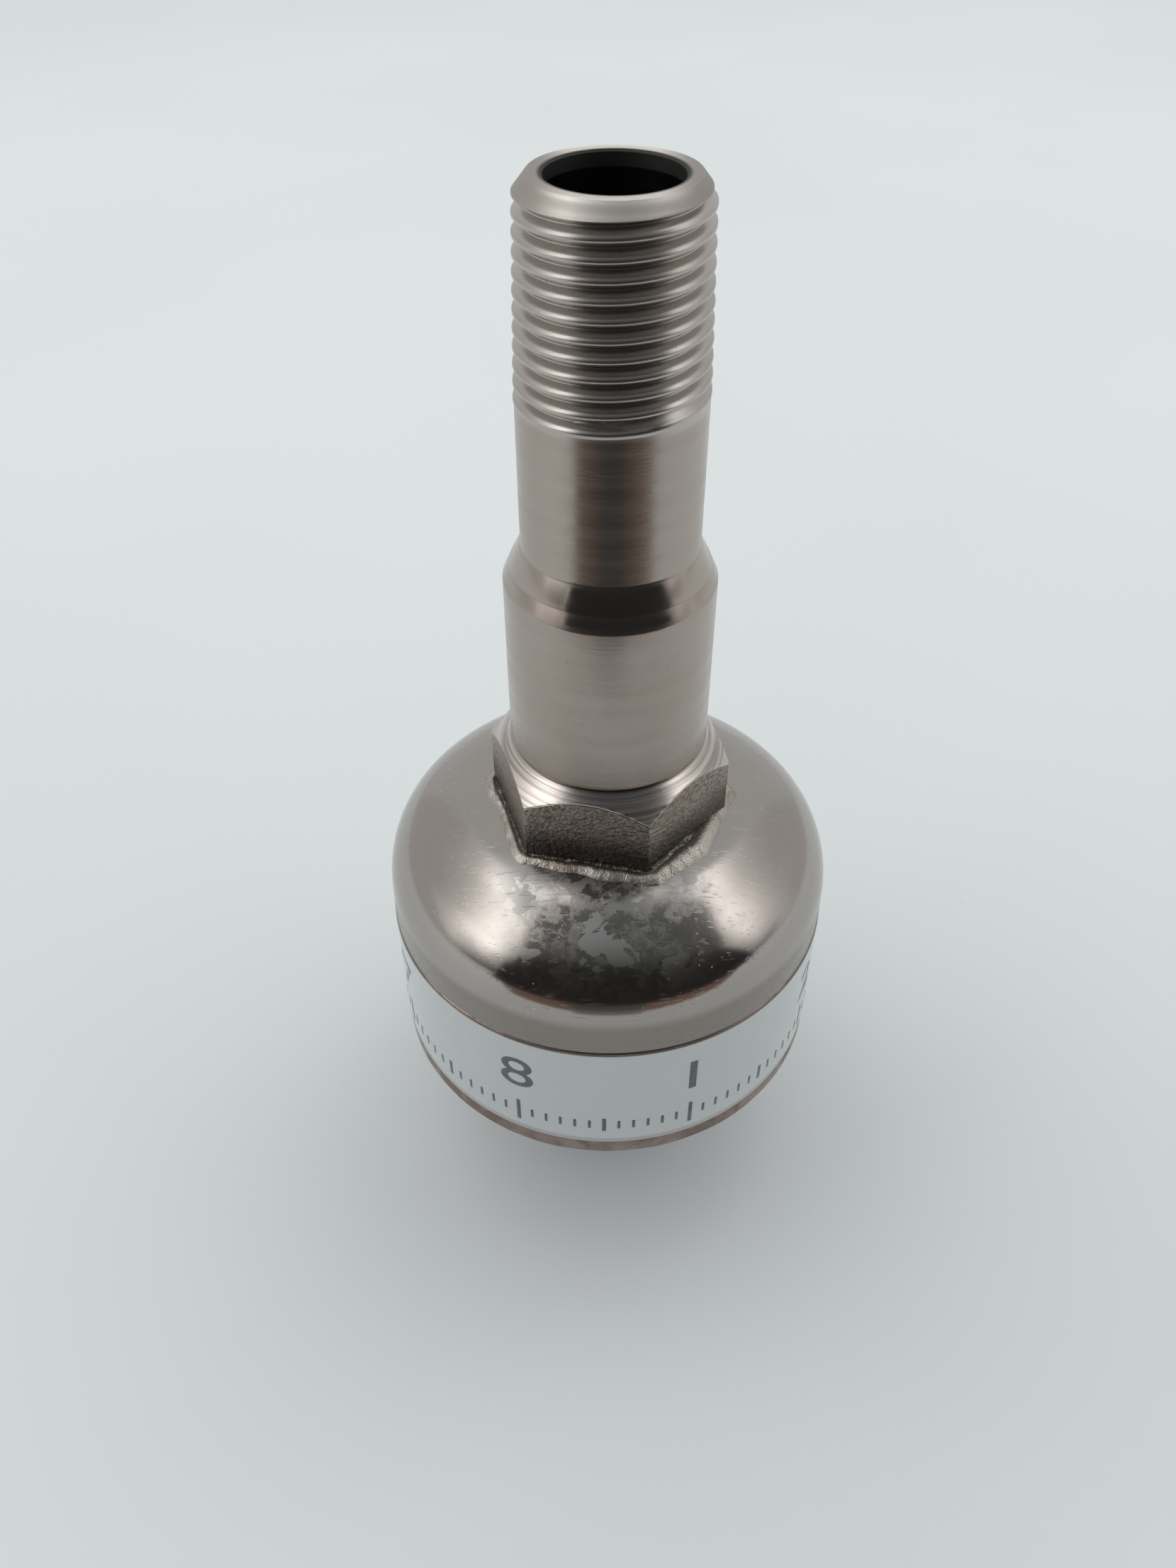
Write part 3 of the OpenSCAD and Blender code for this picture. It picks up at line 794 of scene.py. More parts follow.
class GAUGE_OT_port_fitting(bpy.types.Operator):
    """Turns the port fitting: a right-hand pipe thread, two necks and a hexagon with a cone"""

    bl_idname = "gauge.port_fitting"
    bl_label = "Port Fitting"

    def execute(self, context):
        s = context.scene.gauge_fitting
        top = STEM_HIGH.z
        thread_low = top - s.thread_length
        bevel_top = thread_low - s.slim_length
        bevel_low = bevel_top - s.bevel
        foot = STEM_LOW.z
        cap_z = CAP_HIGH.z
        cone_top = cap_z + s.hexagon_height
        per_pitch = 16

        # One pitch of a straight line is swept along a helix, then pressed to the thread's shape.
        obj = single_vertex("port_fitting", s.thread, thread_low - 2.2 * s.pitch)
        rise = (0, 0, s.pitch / per_pitch)
        for _ in range(per_pitch):
            bpy.ops.mesh.extrude_vertices_move(TRANSFORM_OT_translate={"value": rise})
        bpy.ops.object.mode_set(mode="OBJECT")
        sweep = obj.modifiers.new("helix", "SCREW")
        sweep.angle = TURN
        sweep.screw_offset = s.pitch
        sweep.iterations = ceil(s.thread_length / s.pitch) + 5
        sweep.steps = sweep.render_steps = s.steps
        sweep.use_merge_vertices = True
        sweep.merge_threshold = 0.0005 * MM
        apply_modifiers(obj)
        close_up(obj)

        def press(x, y, z):
            angle = front_angle(x, y)
            crest = s.thread + (top - z) / 32
            wobble = 0.003 * MM * ripple(x, y, z, 1.1 * MM, 3.0)
            r = crest - thread_depth(s, angle, z) + wobble
            # The grooves run out over the last turn and fade into the slim neck.
            start = thread_low + 0.25 * s.pitch + 0.5 * s.pitch * sin(angle + 0.6)
            fade = (start + 0.9 * s.pitch - z) / (0.9 * s.pitch)
            if fade > 0:
                floor_r = s.slim - 0.75 * MM * max(0.0, 1 - fade) ** 0.7
                r = max(r, min(floor_r, s.slim))
            if z < thread_low + 0.1 * MM:
                r = s.slim
            r = min(r, max(crest + 0.01 * MM, s.slim) if z > thread_low else s.slim)
            # The chamfer clips the first crest.
            edge = top - s.chamfer
            if z > edge - 0.05 * MM:
                slope = (s.thread + 0.02 * MM - s.end_face) / s.chamfer
                r = min(r, s.end_face + (top - z) * slope)
                # Close to the end face the chamfer is whole: the groove starts below it.
                whole = min(1.0, max(0.0, (z - (top - 0.62 * s.chamfer)) / (0.12 * MM)))
                r = r + (s.end_face + (top - z) * slope - r) * whole
            k = r / hypot(x, y)
            return (x * k, y * k, z)

        reshape(obj, press)
        edit(obj)
        low = thread_low - 0.6 * s.pitch
        cut((0, 0, top), (0, 0, 1), clear_outer=True)
        cut((0, 0, low), (0, 0, 1), clear_inner=True)
        select_ring(obj, low)
        shoulder = arc((s.wide - 0.45 * MM, bevel_low - 0.1 * MM), 0.45 * MM, radians(26), 0.0, 5)
        neck = [
            (s.slim, low),
            (s.slim, bevel_top + 0.12 * MM),
            (s.slim + 0.015 * MM, bevel_top + 0.04 * MM),
            (s.slim + 0.06 * MM, bevel_top - 0.06 * MM),
            (s.slim + 0.68 * MM, bevel_top - 0.56 * s.bevel),
            (s.slim + 0.695 * MM, bevel_top - 0.6 * s.bevel),
            (s.slim + 0.72 * MM, bevel_top - 0.62 * s.bevel),
            *shoulder,
            (s.wide, bevel_low - 1.5 * MM),
            (s.wide, cone_top + 0.45 * MM),
            (s.wide - 0.03 * MM, cone_top + 0.2 * MM),
            (s.wide - 0.12 * MM, cone_top + 0.1 * MM),
            (s.wide - 0.14 * MM, cone_top + 0.03 * MM),
            (s.wide + 0.02 * MM, cone_top - 0.02 * MM),
        ]
        # Coarse tool marks run round the cone down to the hexagon's corners.
        blank = corner_radius(s.hexagon) + 0.9 * MM
        reach = blank - s.wide
        marks = 22
        for i in range(1, marks + 1):
            r = s.wide + 0.02 * MM + reach * i / marks
            dip = 0.035 * MM * (i % 2) * (0.5 + 0.5 * sin(1.9 * i) ** 2)
            neck.append((r - 0.7 * dip, cone_top - 0.02 * MM - reach * i / marks - 0.7 * dip))
        neck += [(blank, cap_z), (s.spigot, cap_z), (s.spigot, foot), (s.bore, foot)]
        carry_on(neck)
        select_ring(obj, top)
        mouth = [(s.end_face, top), (s.bore + 0.1 * MM, top), (s.bore, top - 0.1 * MM)]
        carry_on([*mouth, (s.bore, foot + 0.5 * MM)])
        select_edges(obj, lambda e: e.is_boundary)
        bpy.ops.mesh.bridge_edge_loops()
        for i in range(6):
            angle = s.hexagon_turn + pi / 6 + i * pi / 3
            out = Vector((cos(angle), sin(angle), 0))
            cut(out * (s.hexagon / 2), out, use_fill=True, clear_outer=True)
        bpy.ops.object.mode_set(mode="OBJECT")
        close_up(obj)
        edit(obj)
        corner = corner_radius(s.hexagon)

        def upright_corner(e):
            tall = abs(e.verts[0].co.z - e.verts[1].co.z) > 0.5 * MM
            return tall and all(hypot(v.co.x, v.co.y) > corner - 0.01 * MM for v in e.verts)

        select_edges(obj, upright_corner)
        bpy.ops.mesh.bevel(offset=0.1 * MM, segments=3, affect="EDGES")
        bpy.ops.object.mode_set(mode="OBJECT")
        settle(obj, 34)
        finish_piece(obj, ["threaded_stem"], "turned_nickel")
        return {"FINISHED"}


def dome_outline(s, step, count=28):
    """The can's side and dome from the side up to its level top, step inside the surface."""
    sweep = pi / 2 - s.crown_slope
    hexagon = bpy.context.scene.gauge_fitting.hexagon
    flat = corner_radius(hexagon) - 1 * MM
    meet = s.radius - s.corner * (1 - cos(sweep))
    crown = (meet - flat) / sin(s.crown_slope)
    top = CAP_HIGH.z
    corner_z = top - crown * (1 - cos(s.crown_slope)) - s.corner * sin(sweep)
    return (
        arc((s.radius - s.corner, corner_z), s.corner - step, 0.0, sweep, count)
        + arc((flat, top - crown), crown - step, sweep, pi / 2, count)[1:]
    )


def dome_height(s, radius):
    """Height of the dome's surface at a radius."""
    points = dome_outline(s, 0.0)
    for (r, z), (r2, z2) in zip(points, points[1:]):
        if r2 <= radius <= r:
            return z + (z2 - z) * (r - radius) / max(r - r2, 1e-9)
    return CAP_HIGH.z


class GAUGE_OT_dome(bpy.types.Operator):
    """Spins the dome with its short side and the edge that meets the sleeve"""

    bl_idname = "gauge.dome"
    bl_label = "Dome"

    def execute(self, context):
        s = context.scene.gauge_can
        seam = CAP_LOW.z
        hole = context.scene.gauge_fitting.spigot + 0.03 * MM
        edge = 0.16 * MM
        inner = s.radius - s.sheet
        outside = arc((s.radius - edge, seam + edge), edge, -pi / 2, 0.0, 6) + dome_outline(s, 0.0)
        inside = dome_outline(s, s.sheet, 14)[::-1]
        through = [(hole, CAP_HIGH.z), (hole, CAP_HIGH.z - s.sheet)]
        outline = outside + through + inside + [(inner, seam)]
        obj = turned("dome", outline, 256)

        def dent(x, y, z):
            r = hypot(x, y)
            if r < 7 * MM or z < seam + 0.2 * MM:
                return (x, y, z)
            k = 1 + 0.02 * MM * (ripple(x, y, z, 7 * MM, 5.0) - 0.35) / r
            return (x * k, y * k, z)

        reshape(obj, dent)
        settle(obj, 40)
        finish_piece(obj, ["cap_shell"], "polished_nickel")
        return {"FINISHED"}


class GAUGE_OT_braze(bpy.types.Operator):
    """Shapes the braze fillet that follows the hexagon's foot"""

    bl_idname = "gauge.braze"
    bl_label = "Braze Fillet"

    def execute(self, context):
        s = context.scene.gauge_can
        f = context.scene.gauge_fitting
        around, section = 288, 20
        deselect()
        bpy.ops.mesh.primitive_torus_add(
            major_segments=around,
            minor_segments=section,
            major_radius=8.5 * MM,
            minor_radius=0.5 * MM,
        )
        obj = started("braze_fillet")
        half = f.hexagon / 2

        def wall(angle):
            """Distance from the axis to the hexagon's flats, eased over its corners."""
            part = (angle - f.hexagon_turn) % (pi / 3) - pi / 6
            return min(half / cos(part), corner_radius(f.hexagon) - 0.18 * MM)

        # A low hollow fillet leaves the flat, then a rounded bead lies on the dome.
        shape = [
            (0.0, 0.5), (0.05, 0.32), (0.11, 0.19), (0.18, 0.14), (0.28, 0.28), (0.4, 0.42),
            (0.54, 0.46), (0.7, 0.36), (0.84, 0.18), (0.95, 0.02), (1.0, -0.12),
        ]
        under = section - len(shape)
        for index, v in enumerate(obj.data.vertices):
            i, j = divmod(index, section)
            angle = TURN * i / around
            c, d = cos(angle), sin(angle)
            rough = ripple(8 * MM * c, 8 * MM * d, 0.0, 2.2 * MM, 2.0)
            fine = ripple(8 * MM * c, 8 * MM * d, j * 0.3 * MM, 0.35 * MM, 6.0)
            broad = (0.5 + 0.5 * cos(angle - radians(-32))) ** 3
            slow = ripple(c, d, 0.0, 0.07, 9.0)
            reach = s.braze_reach * (0.66 + 0.6 * broad + 0.24 * rough + 0.07 * slow)
            if j < len(shape):
                out, up = shape[j]
                r = wall(angle) - 0.05 * MM + reach * out
                lumps = 0.12 * fine if 0 < j < 10 else 0.0
                climb = up * (0.65 + 0.5 * broad + 0.2 * rough) + lumps
                z = dome_height(s, r) + s.braze_rise * climb
            else:
                t = (j - len(shape) + 1) / (under + 1)
                r = wall(angle) - 0.05 * MM + reach * (1 - t)
                z = dome_height(s, r) - 0.12 * MM
            v.co = (r * c, r * d, z)
        obj.data.update()
        # Painted shade: the fillet's inner rows, in the hollow beside the flats, are marked to be
        # painted dark.
        hollow = obj.data.attributes.new("hollow", "FLOAT", "POINT")
        for index, value in enumerate(hollow.data):
            value.value = 1.0 if index % section < 3 else 0.6 if index % section == 3 else 0.0
        close_up(obj)
        settle(obj, 60)
        finish_piece(obj, ["braze_ring"], "grainy_braze")
        return {"FINISHED"}


class GAUGE_OT_sleeve(bpy.types.Operator):
    """Spins the lower sleeve with its rolled rim"""

    bl_idname = "gauge.sleeve"
    bl_label = "Sleeve"

    def execute(self, context):
        s = context.scene.gauge_can
        seam, rim = SLEEVE_HIGH.z, SLEEVE_LOW.z
        inner = s.radius - s.sheet
        seat = WAFER_LOW.z
        edge = 0.16 * MM
        proud = SLEEVE_HIGH.x
        lip = s.radius - s.rim_reach
        outline = (
            [(inner, seam), (inner, seat), (lip + 0.1 * MM, seat), (lip, seat - 0.1 * MM)]
            + arc((lip + 0.45 * MM, rim + 0.45 * MM), 0.45 * MM, pi, 1.5 * pi, 6)
            + arc((proud - 0.35 * MM, rim + 0.35 * MM), 0.35 * MM, -pi / 2, 0.0, 6)
            + [(proud, rim + s.rim_height - 0.25 * MM)]
            + [(proud - 0.02 * MM, rim + s.rim_height - 0.12 * MM), (s.radius, rim + s.rim_height)]
            + arc((s.radius - edge, seam - edge), edge, 0.0, pi / 2, 6)
        )
        obj = turned("sleeve", outline, 256)

        def knock(x, y, z):
            if z > rim + s.rim_height:
                return (x, y, z)
            r = hypot(x, y)
            k = 1 + 0.03 * MM * (ripple(x, y, z, 2.4 * MM, 1.0) - 0.6) / r
            return (x * k, y * k, z)

        reshape(obj, knock)
        settle(obj, 40)
        finish_piece(obj, ["base_sleeve"], "dull_nickel")
        return {"FINISHED"}


def wrap(obj, radius, angle, height, thickness):
    """Bends a flat mesh on the XY plane round the can, centred at an angle from the front."""
    for v in obj.data.vertices:
        a = angle + v.co.x / radius
        r = radius + (thickness if v.co.z > 1e-9 else 0.0)
        v.co = (r * sin(a), -r * cos(a), height + v.co.y)
    obj.data.update()


def numeral(text, size, width=1.0):
    """A flat number in the built-in typeface, made a mesh and centred."""
    deselect()
    bpy.ops.object.text_add()
    obj = started("numeral")
    obj.data.body = text
    obj.data.size = size
    obj.data.align_x = "CENTER"
    obj.data.align_y = "CENTER"
    obj.data.extrude = 0.01 * MM
    obj.data.resolution_u = 8
    bpy.ops.object.convert(target="MESH")
    obj = bpy.context.object
    obj.scale.x = width
    pick(obj)
    bpy.ops.object.transform_apply(location=True, rotation=True, scale=True)
    # Upright cuts let the number bend round the can.
    edit(obj)
    reach = max(v.co.x for v in bmesh.from_edit_mesh(obj.data).verts)
    spacing = 0.2 * MM
    cuts = ceil(reach / spacing)
    for i in range(-cuts, cuts + 1):
        cut((i * spacing, 0, 0), (1, 0, 0))
    bpy.ops.object.mode_set(mode="OBJECT")
    return obj


def tick(width, height):
    """A short printed bar with eased ends."""
    deselect()
    bpy.ops.mesh.primitive_cube_add(size=1)
    obj = started("tick")
    obj.scale = (width, height, 0.02 * MM)
    bpy.ops.object.transform_apply(location=False, rotation=False, scale=True)
    bpy.ops.object.mode_set(mode="EDIT")
    bpy.ops.mesh.select_all(action="SELECT")
    bpy.ops.mesh.bevel(offset=0.06 * MM, segments=2, affect="EDGES")
    bpy.ops.object.mode_set(mode="OBJECT")
    return obj


def joined(objects, name):
    """Joins meshes into one piece."""
    deselect()
    for o in objects:
        o.select_set(True)
    bpy.context.view_layer.objects.active = objects[0]
    bpy.ops.object.join()
    return started(name)


class GAUGE_OT_label(bpy.types.Operator):
    """Wraps the label round the sleeve and prints plain pin numbers and a scale on it"""

    bl_idname = "gauge.label"
    bl_label = "Label"

    def execute(self, context):
        s = context.scene.gauge_can
        low = LABEL_LOW.z
        high = LABEL_HIGH.z - s.label_inset
        under = s.radius + 0.012 * MM
        face = LABEL_HIGH.x - 0.025 * MM
        outline = [
            (under, low),
            (face - 0.02 * MM, low),
            (face, low + 0.03 * MM),
            (face, low + 0.4 * MM),
            (face, high - 0.03 * MM),
            (face - 0.02 * MM, high),
            (under, high),
        ]
        obj = turned("label", outline, 256)
        # The label's end laps over its start at the back.
        lap = 2.6 * MM / face

        def overlap(x, y, z):
            angle = abs(abs(front_angle(x, y)) - pi + lap / 2)
            r = hypot(x, y)
            if r > under + 0.01 * MM and angle < lap / 2 and x > 0:
                k = (r + 0.02 * MM) / r
                return (x * k, y * k, z)
            return (x, y, z)

        reshape(obj, overlap)
        settle(obj, 30)
        finish_piece(obj, ["label_band"], "glossy_label")

        marks = []

        def print_mark(mark, angle, height):
            wrap(mark, face + 0.002 * MM, angle, height, 0.012 * MM)
            marks.append(mark)

        for i in range(8):
            digit = numeral(str(i + 1), 4.4 * MM, 1.25)
            print_mark(digit, radians(22.5 + 45 * i), low + 6.35 * MM)
        ticks = 96
        for i in range(ticks):
            # The scale stops short of the lap at the back.
            if abs(i - ticks // 2) < 3:
                continue
            tall = 2.3 if i % 12 == 6 else 1.5 if i % 6 == 0 else 0.9
            bar = tick(0.28 * MM if i % 6 == 0 else 0.2 * MM, tall * MM)
            print_mark(bar, TURN * i / ticks, low + 2.15 * MM)
        print_piece = joined(marks, "label_print")
        settle(print_piece, 30)
        finish_piece(print_piece, [], "printed_ink")
        return {"FINISHED"}


class GAUGE_OT_octal_base(bpy.types.Operator):
    """Builds the octal base: a moulded wafer, a key post with its rib and eight contact pins"""

    bl_idname = "gauge.octal_base"
    bl_label = "Octal Base"

    def wafer(self, s):
        """The moulded wafer with a raised boss round the post and a bead at its edge."""
        low, high = WAFER_LOW.z, WAFER_HIGH.z
        rim = WAFER_HIGH.x
        outline = [
            (s.post + 0.02 * MM, low - 0.25 * MM),
            (s.post + 0.9 * MM, low - 0.25 * MM),
            (s.post + 1.0 * MM, low - 0.2 * MM),
            (s.post + 1.1 * MM, low),
            (11.4 * MM, low),
            (11.5 * MM, low + 0.08 * MM),
            (11.9 * MM, low + 0.08 * MM),
            (12.0 * MM, low),
            (rim - 0.15 * MM, low),
            (rim, low + 0.15 * MM),
            (rim, high),
            (s.post + 0.02 * MM, high),
        ]
        obj = turned("wafer", outline, 192)
        return settle(obj, 30)

    def post(self, s):
        """The key post with an eased end and a rib down its front."""
        low, seat, high = POST_LOW.z, WAFER_LOW.z, POST_HIGH.z
        shoulder = WAFER_HIGH.z
        outline = [
            (0.0, low + 1.2 * MM),
            (1.3 * MM, low + 1.2 * MM),
            (1.6 * MM, low),
            (s.post - 0.2 * MM, low),
            (s.post - 0.06 * MM, low + 0.06 * MM),
            (s.post, low + 0.2 * MM),
            (s.post, shoulder),
            (s.post + 1.4 * MM, shoulder),
            (s.post + 1.4 * MM, high),
            (0.0, high),
        ]
        obj = turned("key_post_moulding", outline, 128)
        deselect()
        bpy.ops.mesh.primitive_cube_add(size=1)
        rib = started("rib")
        height = seat - low - 0.5 * MM
        rib.scale = (s.rib_width, s.rib_reach + 1.0 * MM, height)
        rib.location = (0, -(s.post + s.rib_reach / 2 - 0.5 * MM), low + 0.5 * MM + height / 2)
        bpy.ops.object.transform_apply(location=True, rotation=False, scale=True)
        bpy.ops.object.mode_set(mode="EDIT")
        bpy.ops.mesh.select_all(action="DESELECT")
        bpy.ops.mesh.select_mode(type="FACE")
        mesh = bmesh.from_edit_mesh(rib.data)
        for face in mesh.faces:
            face.select = face.normal.y < -0.9 or face.normal.z < -0.9
        bmesh.update_edit_mesh(rib.data)
        bpy.ops.mesh.bevel(offset=0.22 * MM, segments=4, affect="EDGES")
        bpy.ops.object.mode_set(mode="OBJECT")
        weld = obj.modifiers.new("rib", "BOOLEAN")
        weld.operation = "UNION"
        weld.solver = "EXACT"
        weld.object = rib
        apply_modifiers(obj)
        bpy.data.objects.remove(rib)
        return settle(obj, 30)

    def pin(self, s):
        """One contact pin with a rounded tip and a worn shoulder."""
        low, seat = PIN_LOW.z, WAFER_LOW.z
        top = PIN_HIGH.z
        tip = arc((0.0, low + s.pin), s.pin, -pi / 2, 0.0, 12)
        shank, head, cup = s.pin - 0.1 * MM, s.pin + 0.5 * MM, 0.75 * MM
        outline = tip + [
            (s.pin, seat - 0.35 * MM),
            (s.pin - 0.05 * MM, seat - 0.3 * MM),
            (s.pin, seat - 0.25 * MM),
            (s.pin, seat),
            (shank, seat),
            (shank, WAFER_HIGH.z),
            (head, WAFER_HIGH.z),
            (head, top),
            (cup, top),
            (cup, top - 2 * MM),
            (0.0, top - 2 * MM),
        ]
        obj = turned("contact_pin", outline, 48)
        return settle(obj, 40)

    def execute(self, context):
        s = context.scene.gauge_base
        finish_piece(self.wafer(s), ["base_wafer"], "brown_moulding")
        finish_piece(self.post(s), ["key_post"], "brown_moulding")
        pattern = self.pin(s)
        for i in range(8):
            obj = pattern.copy()
            obj.data = pattern.data.copy()
            obj.name = f"pin_{i + 1}"
            context.scene.collection.objects.link(obj)
            angle = radians(-90 + 22.5 + 45 * i)
            place = Vector((s.pin_circle * cos(angle), s.pin_circle * sin(angle), 0))
            obj.data.transform(Matrix.Translation(place) @ Matrix.Rotation(1.7 * i, 4, "Z"))
            finish_piece(obj, [f"contact_pin_{i + 1}"], "pin_plating")
        bpy.data.objects.remove(pattern)
        return {"FINISHED"}


class GAUGE_OT_inner_works(bpy.types.Operator):
    """Gives the header, seals, wires and solder inside the can their finishes"""

    bl_idname = "gauge.inner_works"
    bl_label = "Inner Works"

    FINISHES = {
        "header_plate": "header_steel",
        "glass_seal": "seal_glass",
        "feed_pin": "pin_plating",
        "heater_wire": "tinned_wire",
        "couple_wire": "tinned_wire",
        "junction_bead": "soft_solder",
        "lead_wire": "tinned_wire",
        "solder_joints": "soft_solder",
    }

    def execute(self, context):
        finishes = materials()
        for name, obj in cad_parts.items():
            for start, finish in self.FINISHES.items():
                if name.startswith(start):
                    obj.data.materials.clear()
                    obj.data.materials.append(finishes[finish])
        return {"FINISHED"}


# ---------------------------------------------------------------- stage


def sheet(name, rows):
    """A sheet with its corners given row by row, and its vertex numbers in that order."""
    deselect()
    bpy.ops.mesh.primitive_grid_add(
        x_subdivisions=len(rows[0]) - 1, y_subdivisions=len(rows) - 1, size=1
    )
    obj = started(name)
    ordered = sorted(obj.data.vertices, key=lambda v: (round(v.co.y, 4), v.co.x))
    for v, corner in zip(ordered, [corner for row in rows for corner in row]):
        v.co = corner
    return obj, [v.index for v in ordered]


def light_up(obj, tint, shade, strength):
    """Makes a sheet glow in the plating, out of the camera's sight."""
    material = bpy.data.materials.new(obj.name)
    material.use_nodes = True
    material.node_tree.nodes.clear()
    shader = Shader(material.node_tree)
    glow = shader.add("Emission", Color=tint, Strength=strength(shader))
    shader.add("OutputMaterial", Surface=glow.outputs[0])
    shader.lay_out()
    obj.data.materials.append(material)
    obj.visible_camera = False
    obj.visible_shadow = shade
    obj.visible_diffuse = shade


def card(name, rows, low, high, shade, tint=(0.96, 1.0, 1.0)):
    """A card whose brightness runs from low at its foot to high above the lens."""

    def strength(shader):
        place = shader.add("TexCoord").outputs["Object"]
        height = shader.add("SeparateXYZ", Vector=place).outputs["Z"]
        return shader.remap(height, 0.05, 0.15, low, high)

    light_up(sheet(name, rows)[0], tint, shade, strength)


def around(azimuth, elevation, distance, centre=(0, 0, 0.03)):
    """A point seen from the dome at an azimuth from -Y towards +X and an elevation, in degrees."""
    a, e = radians(azimuth), radians(elevation)
    return (
        centre[0] + distance * cos(e) * sin(a),
        centre[1] - distance * cos(e) * cos(a),
        centre[2] + distance * sin(e),
    )


def soft_light(name, azimuth, elevation, distance, size, brightness, tint):
    """A soft box aimed at the object, by the brightness of its face, kept out of the plating."""
    data = bpy.data.lights.new(name, "AREA")
    data.shape = "RECTANGLE"
    data.size, data.size_y = size
    data.energy = brightness * pi * size[0] * size[1]
    data.color = tint
    obj = bpy.data.objects.new(name, data)
    bpy.context.scene.collection.objects.link(obj)
    obj.location = around(azimuth, elevation, distance)
    obj.rotation_euler = (Vector((0, 0, 0.03)) - obj.location).to_track_quat("-Z", "Y").to_euler()
    obj.visible_glossy = False
    return obj


def bright_side(name, azimuths, rows):
    """A curved card at one side of the room whose brightness is set at each of its corners."""
    places = [[around(azimuth, elevation, 0.6) for azimuth in azimuths] for elevation, _ in rows]
    obj, ordered = sheet(name, places)
    level = obj.data.attributes.new("level", "FLOAT", "POINT")
    for index, glow in zip(ordered, [glow for _, glows in rows for glow in glows]):
        level.data[index].value = glow

    def strength(shader):
        painted = shader.add("Attribute", attribute_name="level").outputs["Fac"]
        return shader.math("POWER", painted, 1.45)

    light_up(obj, (1.0, 0.985, 0.97), False, strength)


class GAUGE_OT_stage(bpy.types.Operator):
    """Sets up the pale table, soft light, reflection cards and camera"""

    bl_idname = "gauge.stage"
    bl_label = "Stage"

    def execute(self, context):
        scene = context.scene
        deselect()
        bpy.ops.mesh.primitive_grid_add(x_subdivisions=8, y_subdivisions=8, size=4.0)
        table = started("table")
        table.location.z = -0.02 * MM
        table.data.materials.append(materials()["table_top"])

        warm, cool = (1.0, 0.985, 0.97), (0.98, 0.99, 1.0)
        soft_light("left_light", -88, 54, 1.0, (1.0, 0.9), 1.0, warm)
        soft_light("right_light", 100, 54, 1.0, (1.0, 0.9), 1.0, warm)
        soft_light("back_light", 180, 66, 1.0, (0.9, 0.35), 0.5, cool)
        soft_light("front_light", 0, 68, 1.0, (0.9, 0.3), 0.2, cool)

        # What the plating mirrors: azimuths, then rows of an elevation and its brightness.
        bright_side(
            "left_window",
            (-50, -60, -75, -90, -105, -120, -140),
            (
                (0, (0.2, 0.3, 0.72, 0.7, 0.7, 0.7, 0.7)),
                (10, (0.5, 0.8, 1.1, 0.72, 0.7, 0.7, 0.7)),
                (20, (0.8, 1.5, 1.3, 0.89, 0.7, 0.7, 0.7)),
                (30, (1.2, 2.0, 1.65, 0.92, 0.7, 0.7, 0.7)),
                (40, (1.1, 1.8, 1.75, 1.0, 0.8, 0.75, 0.7)),
                (50, (0.9, 1.5, 1.95, 1.5, 1.05, 0.95, 0.9)),
                (60, (0.6, 1.1, 1.85, 1.9, 1.9, 2.0, 1.6)),
                (70, (0.4, 0.5, 0.95, 1.4, 1.7, 1.75, 1.5)),
                (78, (0.3, 0.35, 0.5, 0.6, 0.6, 0.6, 0.9)),
            ),
        )
        bright_side(
            "right_window",
            (62, 75, 90, 105, 120, 140),
            (
                (0, (0.2, 0.4, 0.83, 0.7, 0.7, 0.7)),
                (10, (0.4, 0.95, 0.86, 0.7, 0.7, 0.7)),
                (20, (0.6, 1.3, 0.95, 0.75, 0.7, 0.7)),
                (30, (0.6, 1.6, 1.1, 0.8, 0.7, 0.7)),
                (40, (0.5, 1.5, 1.4, 0.95, 0.78, 0.75)),
                (50, (0.4, 1.4, 1.8, 1.3, 1.0, 0.97)),
                (60, (0.4, 0.7, 1.2, 1.8, 1.85, 1.8)),
                (70, (0.3, 0.5, 0.5, 0.6, 0.75, 0.8)),
                (78, (0.3, 0.3, 0.3, 0.3, 0.6, 0.5)),
            ),
        )

        bright_side(
            "ceiling",
            (142, 160, 180, 200, 218),
            (
                (62, (0.7, 0.7, 0.7, 0.7, 0.7)),
                (69, (1.1, 1.2, 1.3, 1.2, 1.1)),
                (75, (1.4, 1.7, 1.8, 1.7, 1.4)),
                (82, (1.2, 1.6, 1.7, 1.6, 1.2)),
                (88, (0.5, 0.5, 0.5, 0.5, 0.5)),
            ),
        )

        world = bpy.data.worlds.new("soft_room")
        world.use_nodes = True
        background = next(n for n in world.node_tree.nodes if n.type == "BACKGROUND")
        background.inputs["Color"].default_value = (0.975, 1.0, 1.0, 1.0)
        background.inputs["Strength"].default_value = 0.68
        scene.world = world

        # The camera looks down at the port's end from close by.
        pitch, yaw, roll = 0.739057, -0.021578, 0.003482
        forward = Vector((sin(yaw) * cos(pitch), cos(yaw) * cos(pitch), -sin(pitch)))
        right = Vector((cos(yaw), -sin(yaw), 0))
        down = forward.cross(right)
        across = right * cos(roll) + down * sin(roll)
        below = down * cos(roll) - right * sin(roll)
        data = bpy.data.cameras.new("view")
        data.lens = 28.624
        data.sensor_width = 36.0
        data.clip_start = 0.002
        data.clip_end = 20.0
        camera = bpy.data.objects.new("view", data)
        scene.collection.objects.link(camera)
        place = Vector((0.0, -63.14, 91.424)) * MM
        axes = Matrix((across, -below, -forward)).transposed()
        camera.matrix_world = Matrix.Translation(place) @ axes.to_4x4()
        scene.camera = camera

        # A dark figure stands behind the lens, greyer towards its top.
        def board(u, v):
            return place - 4 * MM * forward + (across * u - below * v) * MM

        def low_row(left, right, depth, height):
            return [Vector((x, -depth, height)) * MM for x in (left, right)]

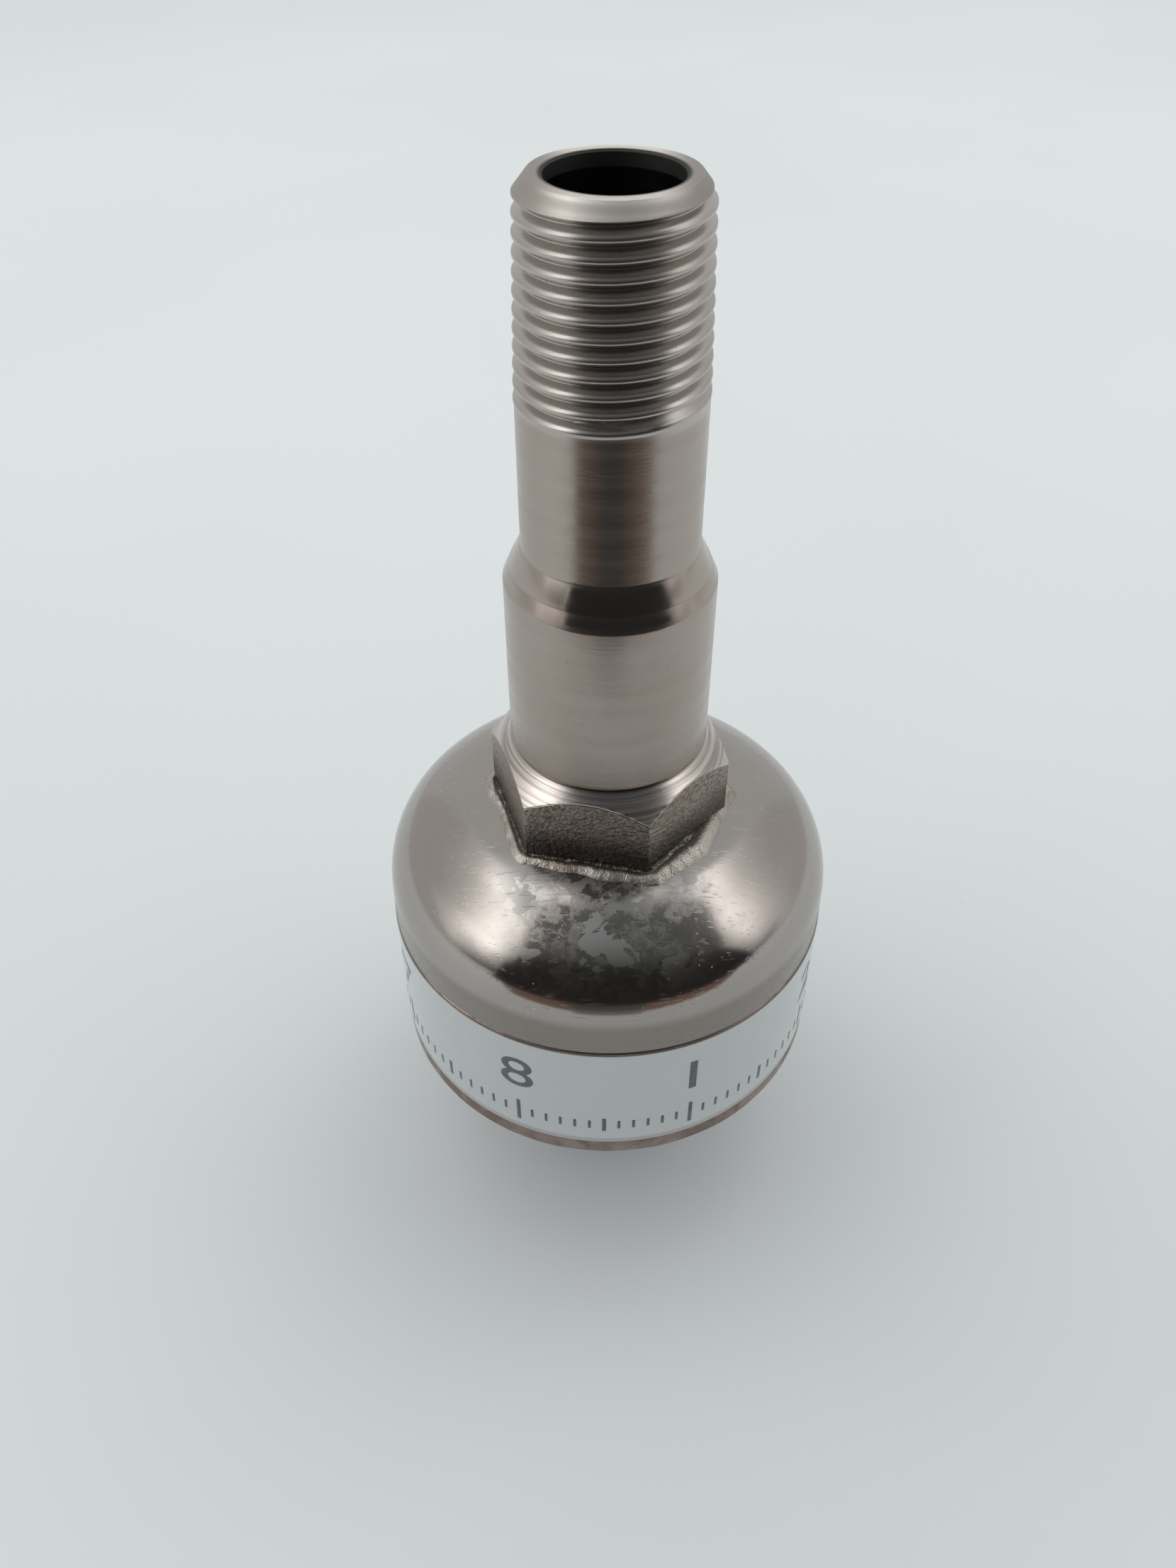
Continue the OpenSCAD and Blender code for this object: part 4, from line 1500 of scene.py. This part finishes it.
        figure = [
            low_row(-86, 190, 76, 19),
            [board(-62, 0), board(104, 0)],
            [board(-50, 60), board(84, 60)],
            [board(-44, 116), board(78, 116)],
        ]
        card("dark_figure", figure[:2], 0.03, 0.1, False)
        card("grey_figure", figure[1:], 0.035, 0.17, True)
        foot = [low_row(-17, 20, 75, 0.2), low_row(-18, 21, 75, 9), low_row(-19, 22, 75, 19)]
        card("dark_foot", foot[1:], 0.11, 0.11, False)
        card("grey_foot", foot[:2], 0.22, 0.22, False)
        hand = [low_row(-62, 90, 77, 3), low_row(-76, 130, 77, 19.5)]
        card("hand", hand, 0.24, 0.24, False, (1.0, 0.66, 0.52))
        scene.view_settings.view_transform = "Standard"
        return {"FINISHED"}


class GAUGE_PT_panel(bpy.types.Panel):
    """Lists the pieces and the stage"""

    bl_idname = "GAUGE_PT_panel"
    bl_label = "Gauge Tube"
    bl_space_type = "VIEW_3D"
    bl_region_type = "UI"
    bl_category = "Gauge Tube"

    def draw(self, context):
        column = self.layout.column()
        for operator in OPERATORS:
            column.operator(operator.bl_idname)
        for name, kind in SIZE_GROUPS.items():
            box = self.layout.box()
            box.label(text=kind.__doc__)
            for key in kind.__annotations__:
                box.prop(getattr(context.scene, name), key)


OPERATORS = (
    GAUGE_OT_stage,
    GAUGE_OT_port_fitting,
    GAUGE_OT_dome,
    GAUGE_OT_braze,
    GAUGE_OT_sleeve,
    GAUGE_OT_label,
    GAUGE_OT_octal_base,
    GAUGE_OT_inner_works,
)


def register():
    for kind in (*SIZE_GROUPS.values(), *OPERATORS, GAUGE_PT_panel):
        bpy.utils.register_class(kind)
    for name, kind in SIZE_GROUPS.items():
        setattr(bpy.types.Scene, name, PointerProperty(type=kind))


def unregister():
    for name in SIZE_GROUPS:
        delattr(bpy.types.Scene, name)
    for kind in reversed((*SIZE_GROUPS.values(), *OPERATORS, GAUGE_PT_panel)):
        bpy.utils.unregister_class(kind)


def main():
    register()
    bpy.ops.gauge.stage()
    bpy.ops.gauge.port_fitting()
    bpy.ops.gauge.dome()
    bpy.ops.gauge.braze()
    bpy.ops.gauge.sleeve()
    bpy.ops.gauge.label()
    bpy.ops.gauge.octal_base()
    bpy.ops.gauge.inner_works()


if __name__ == "__main__":
    main()
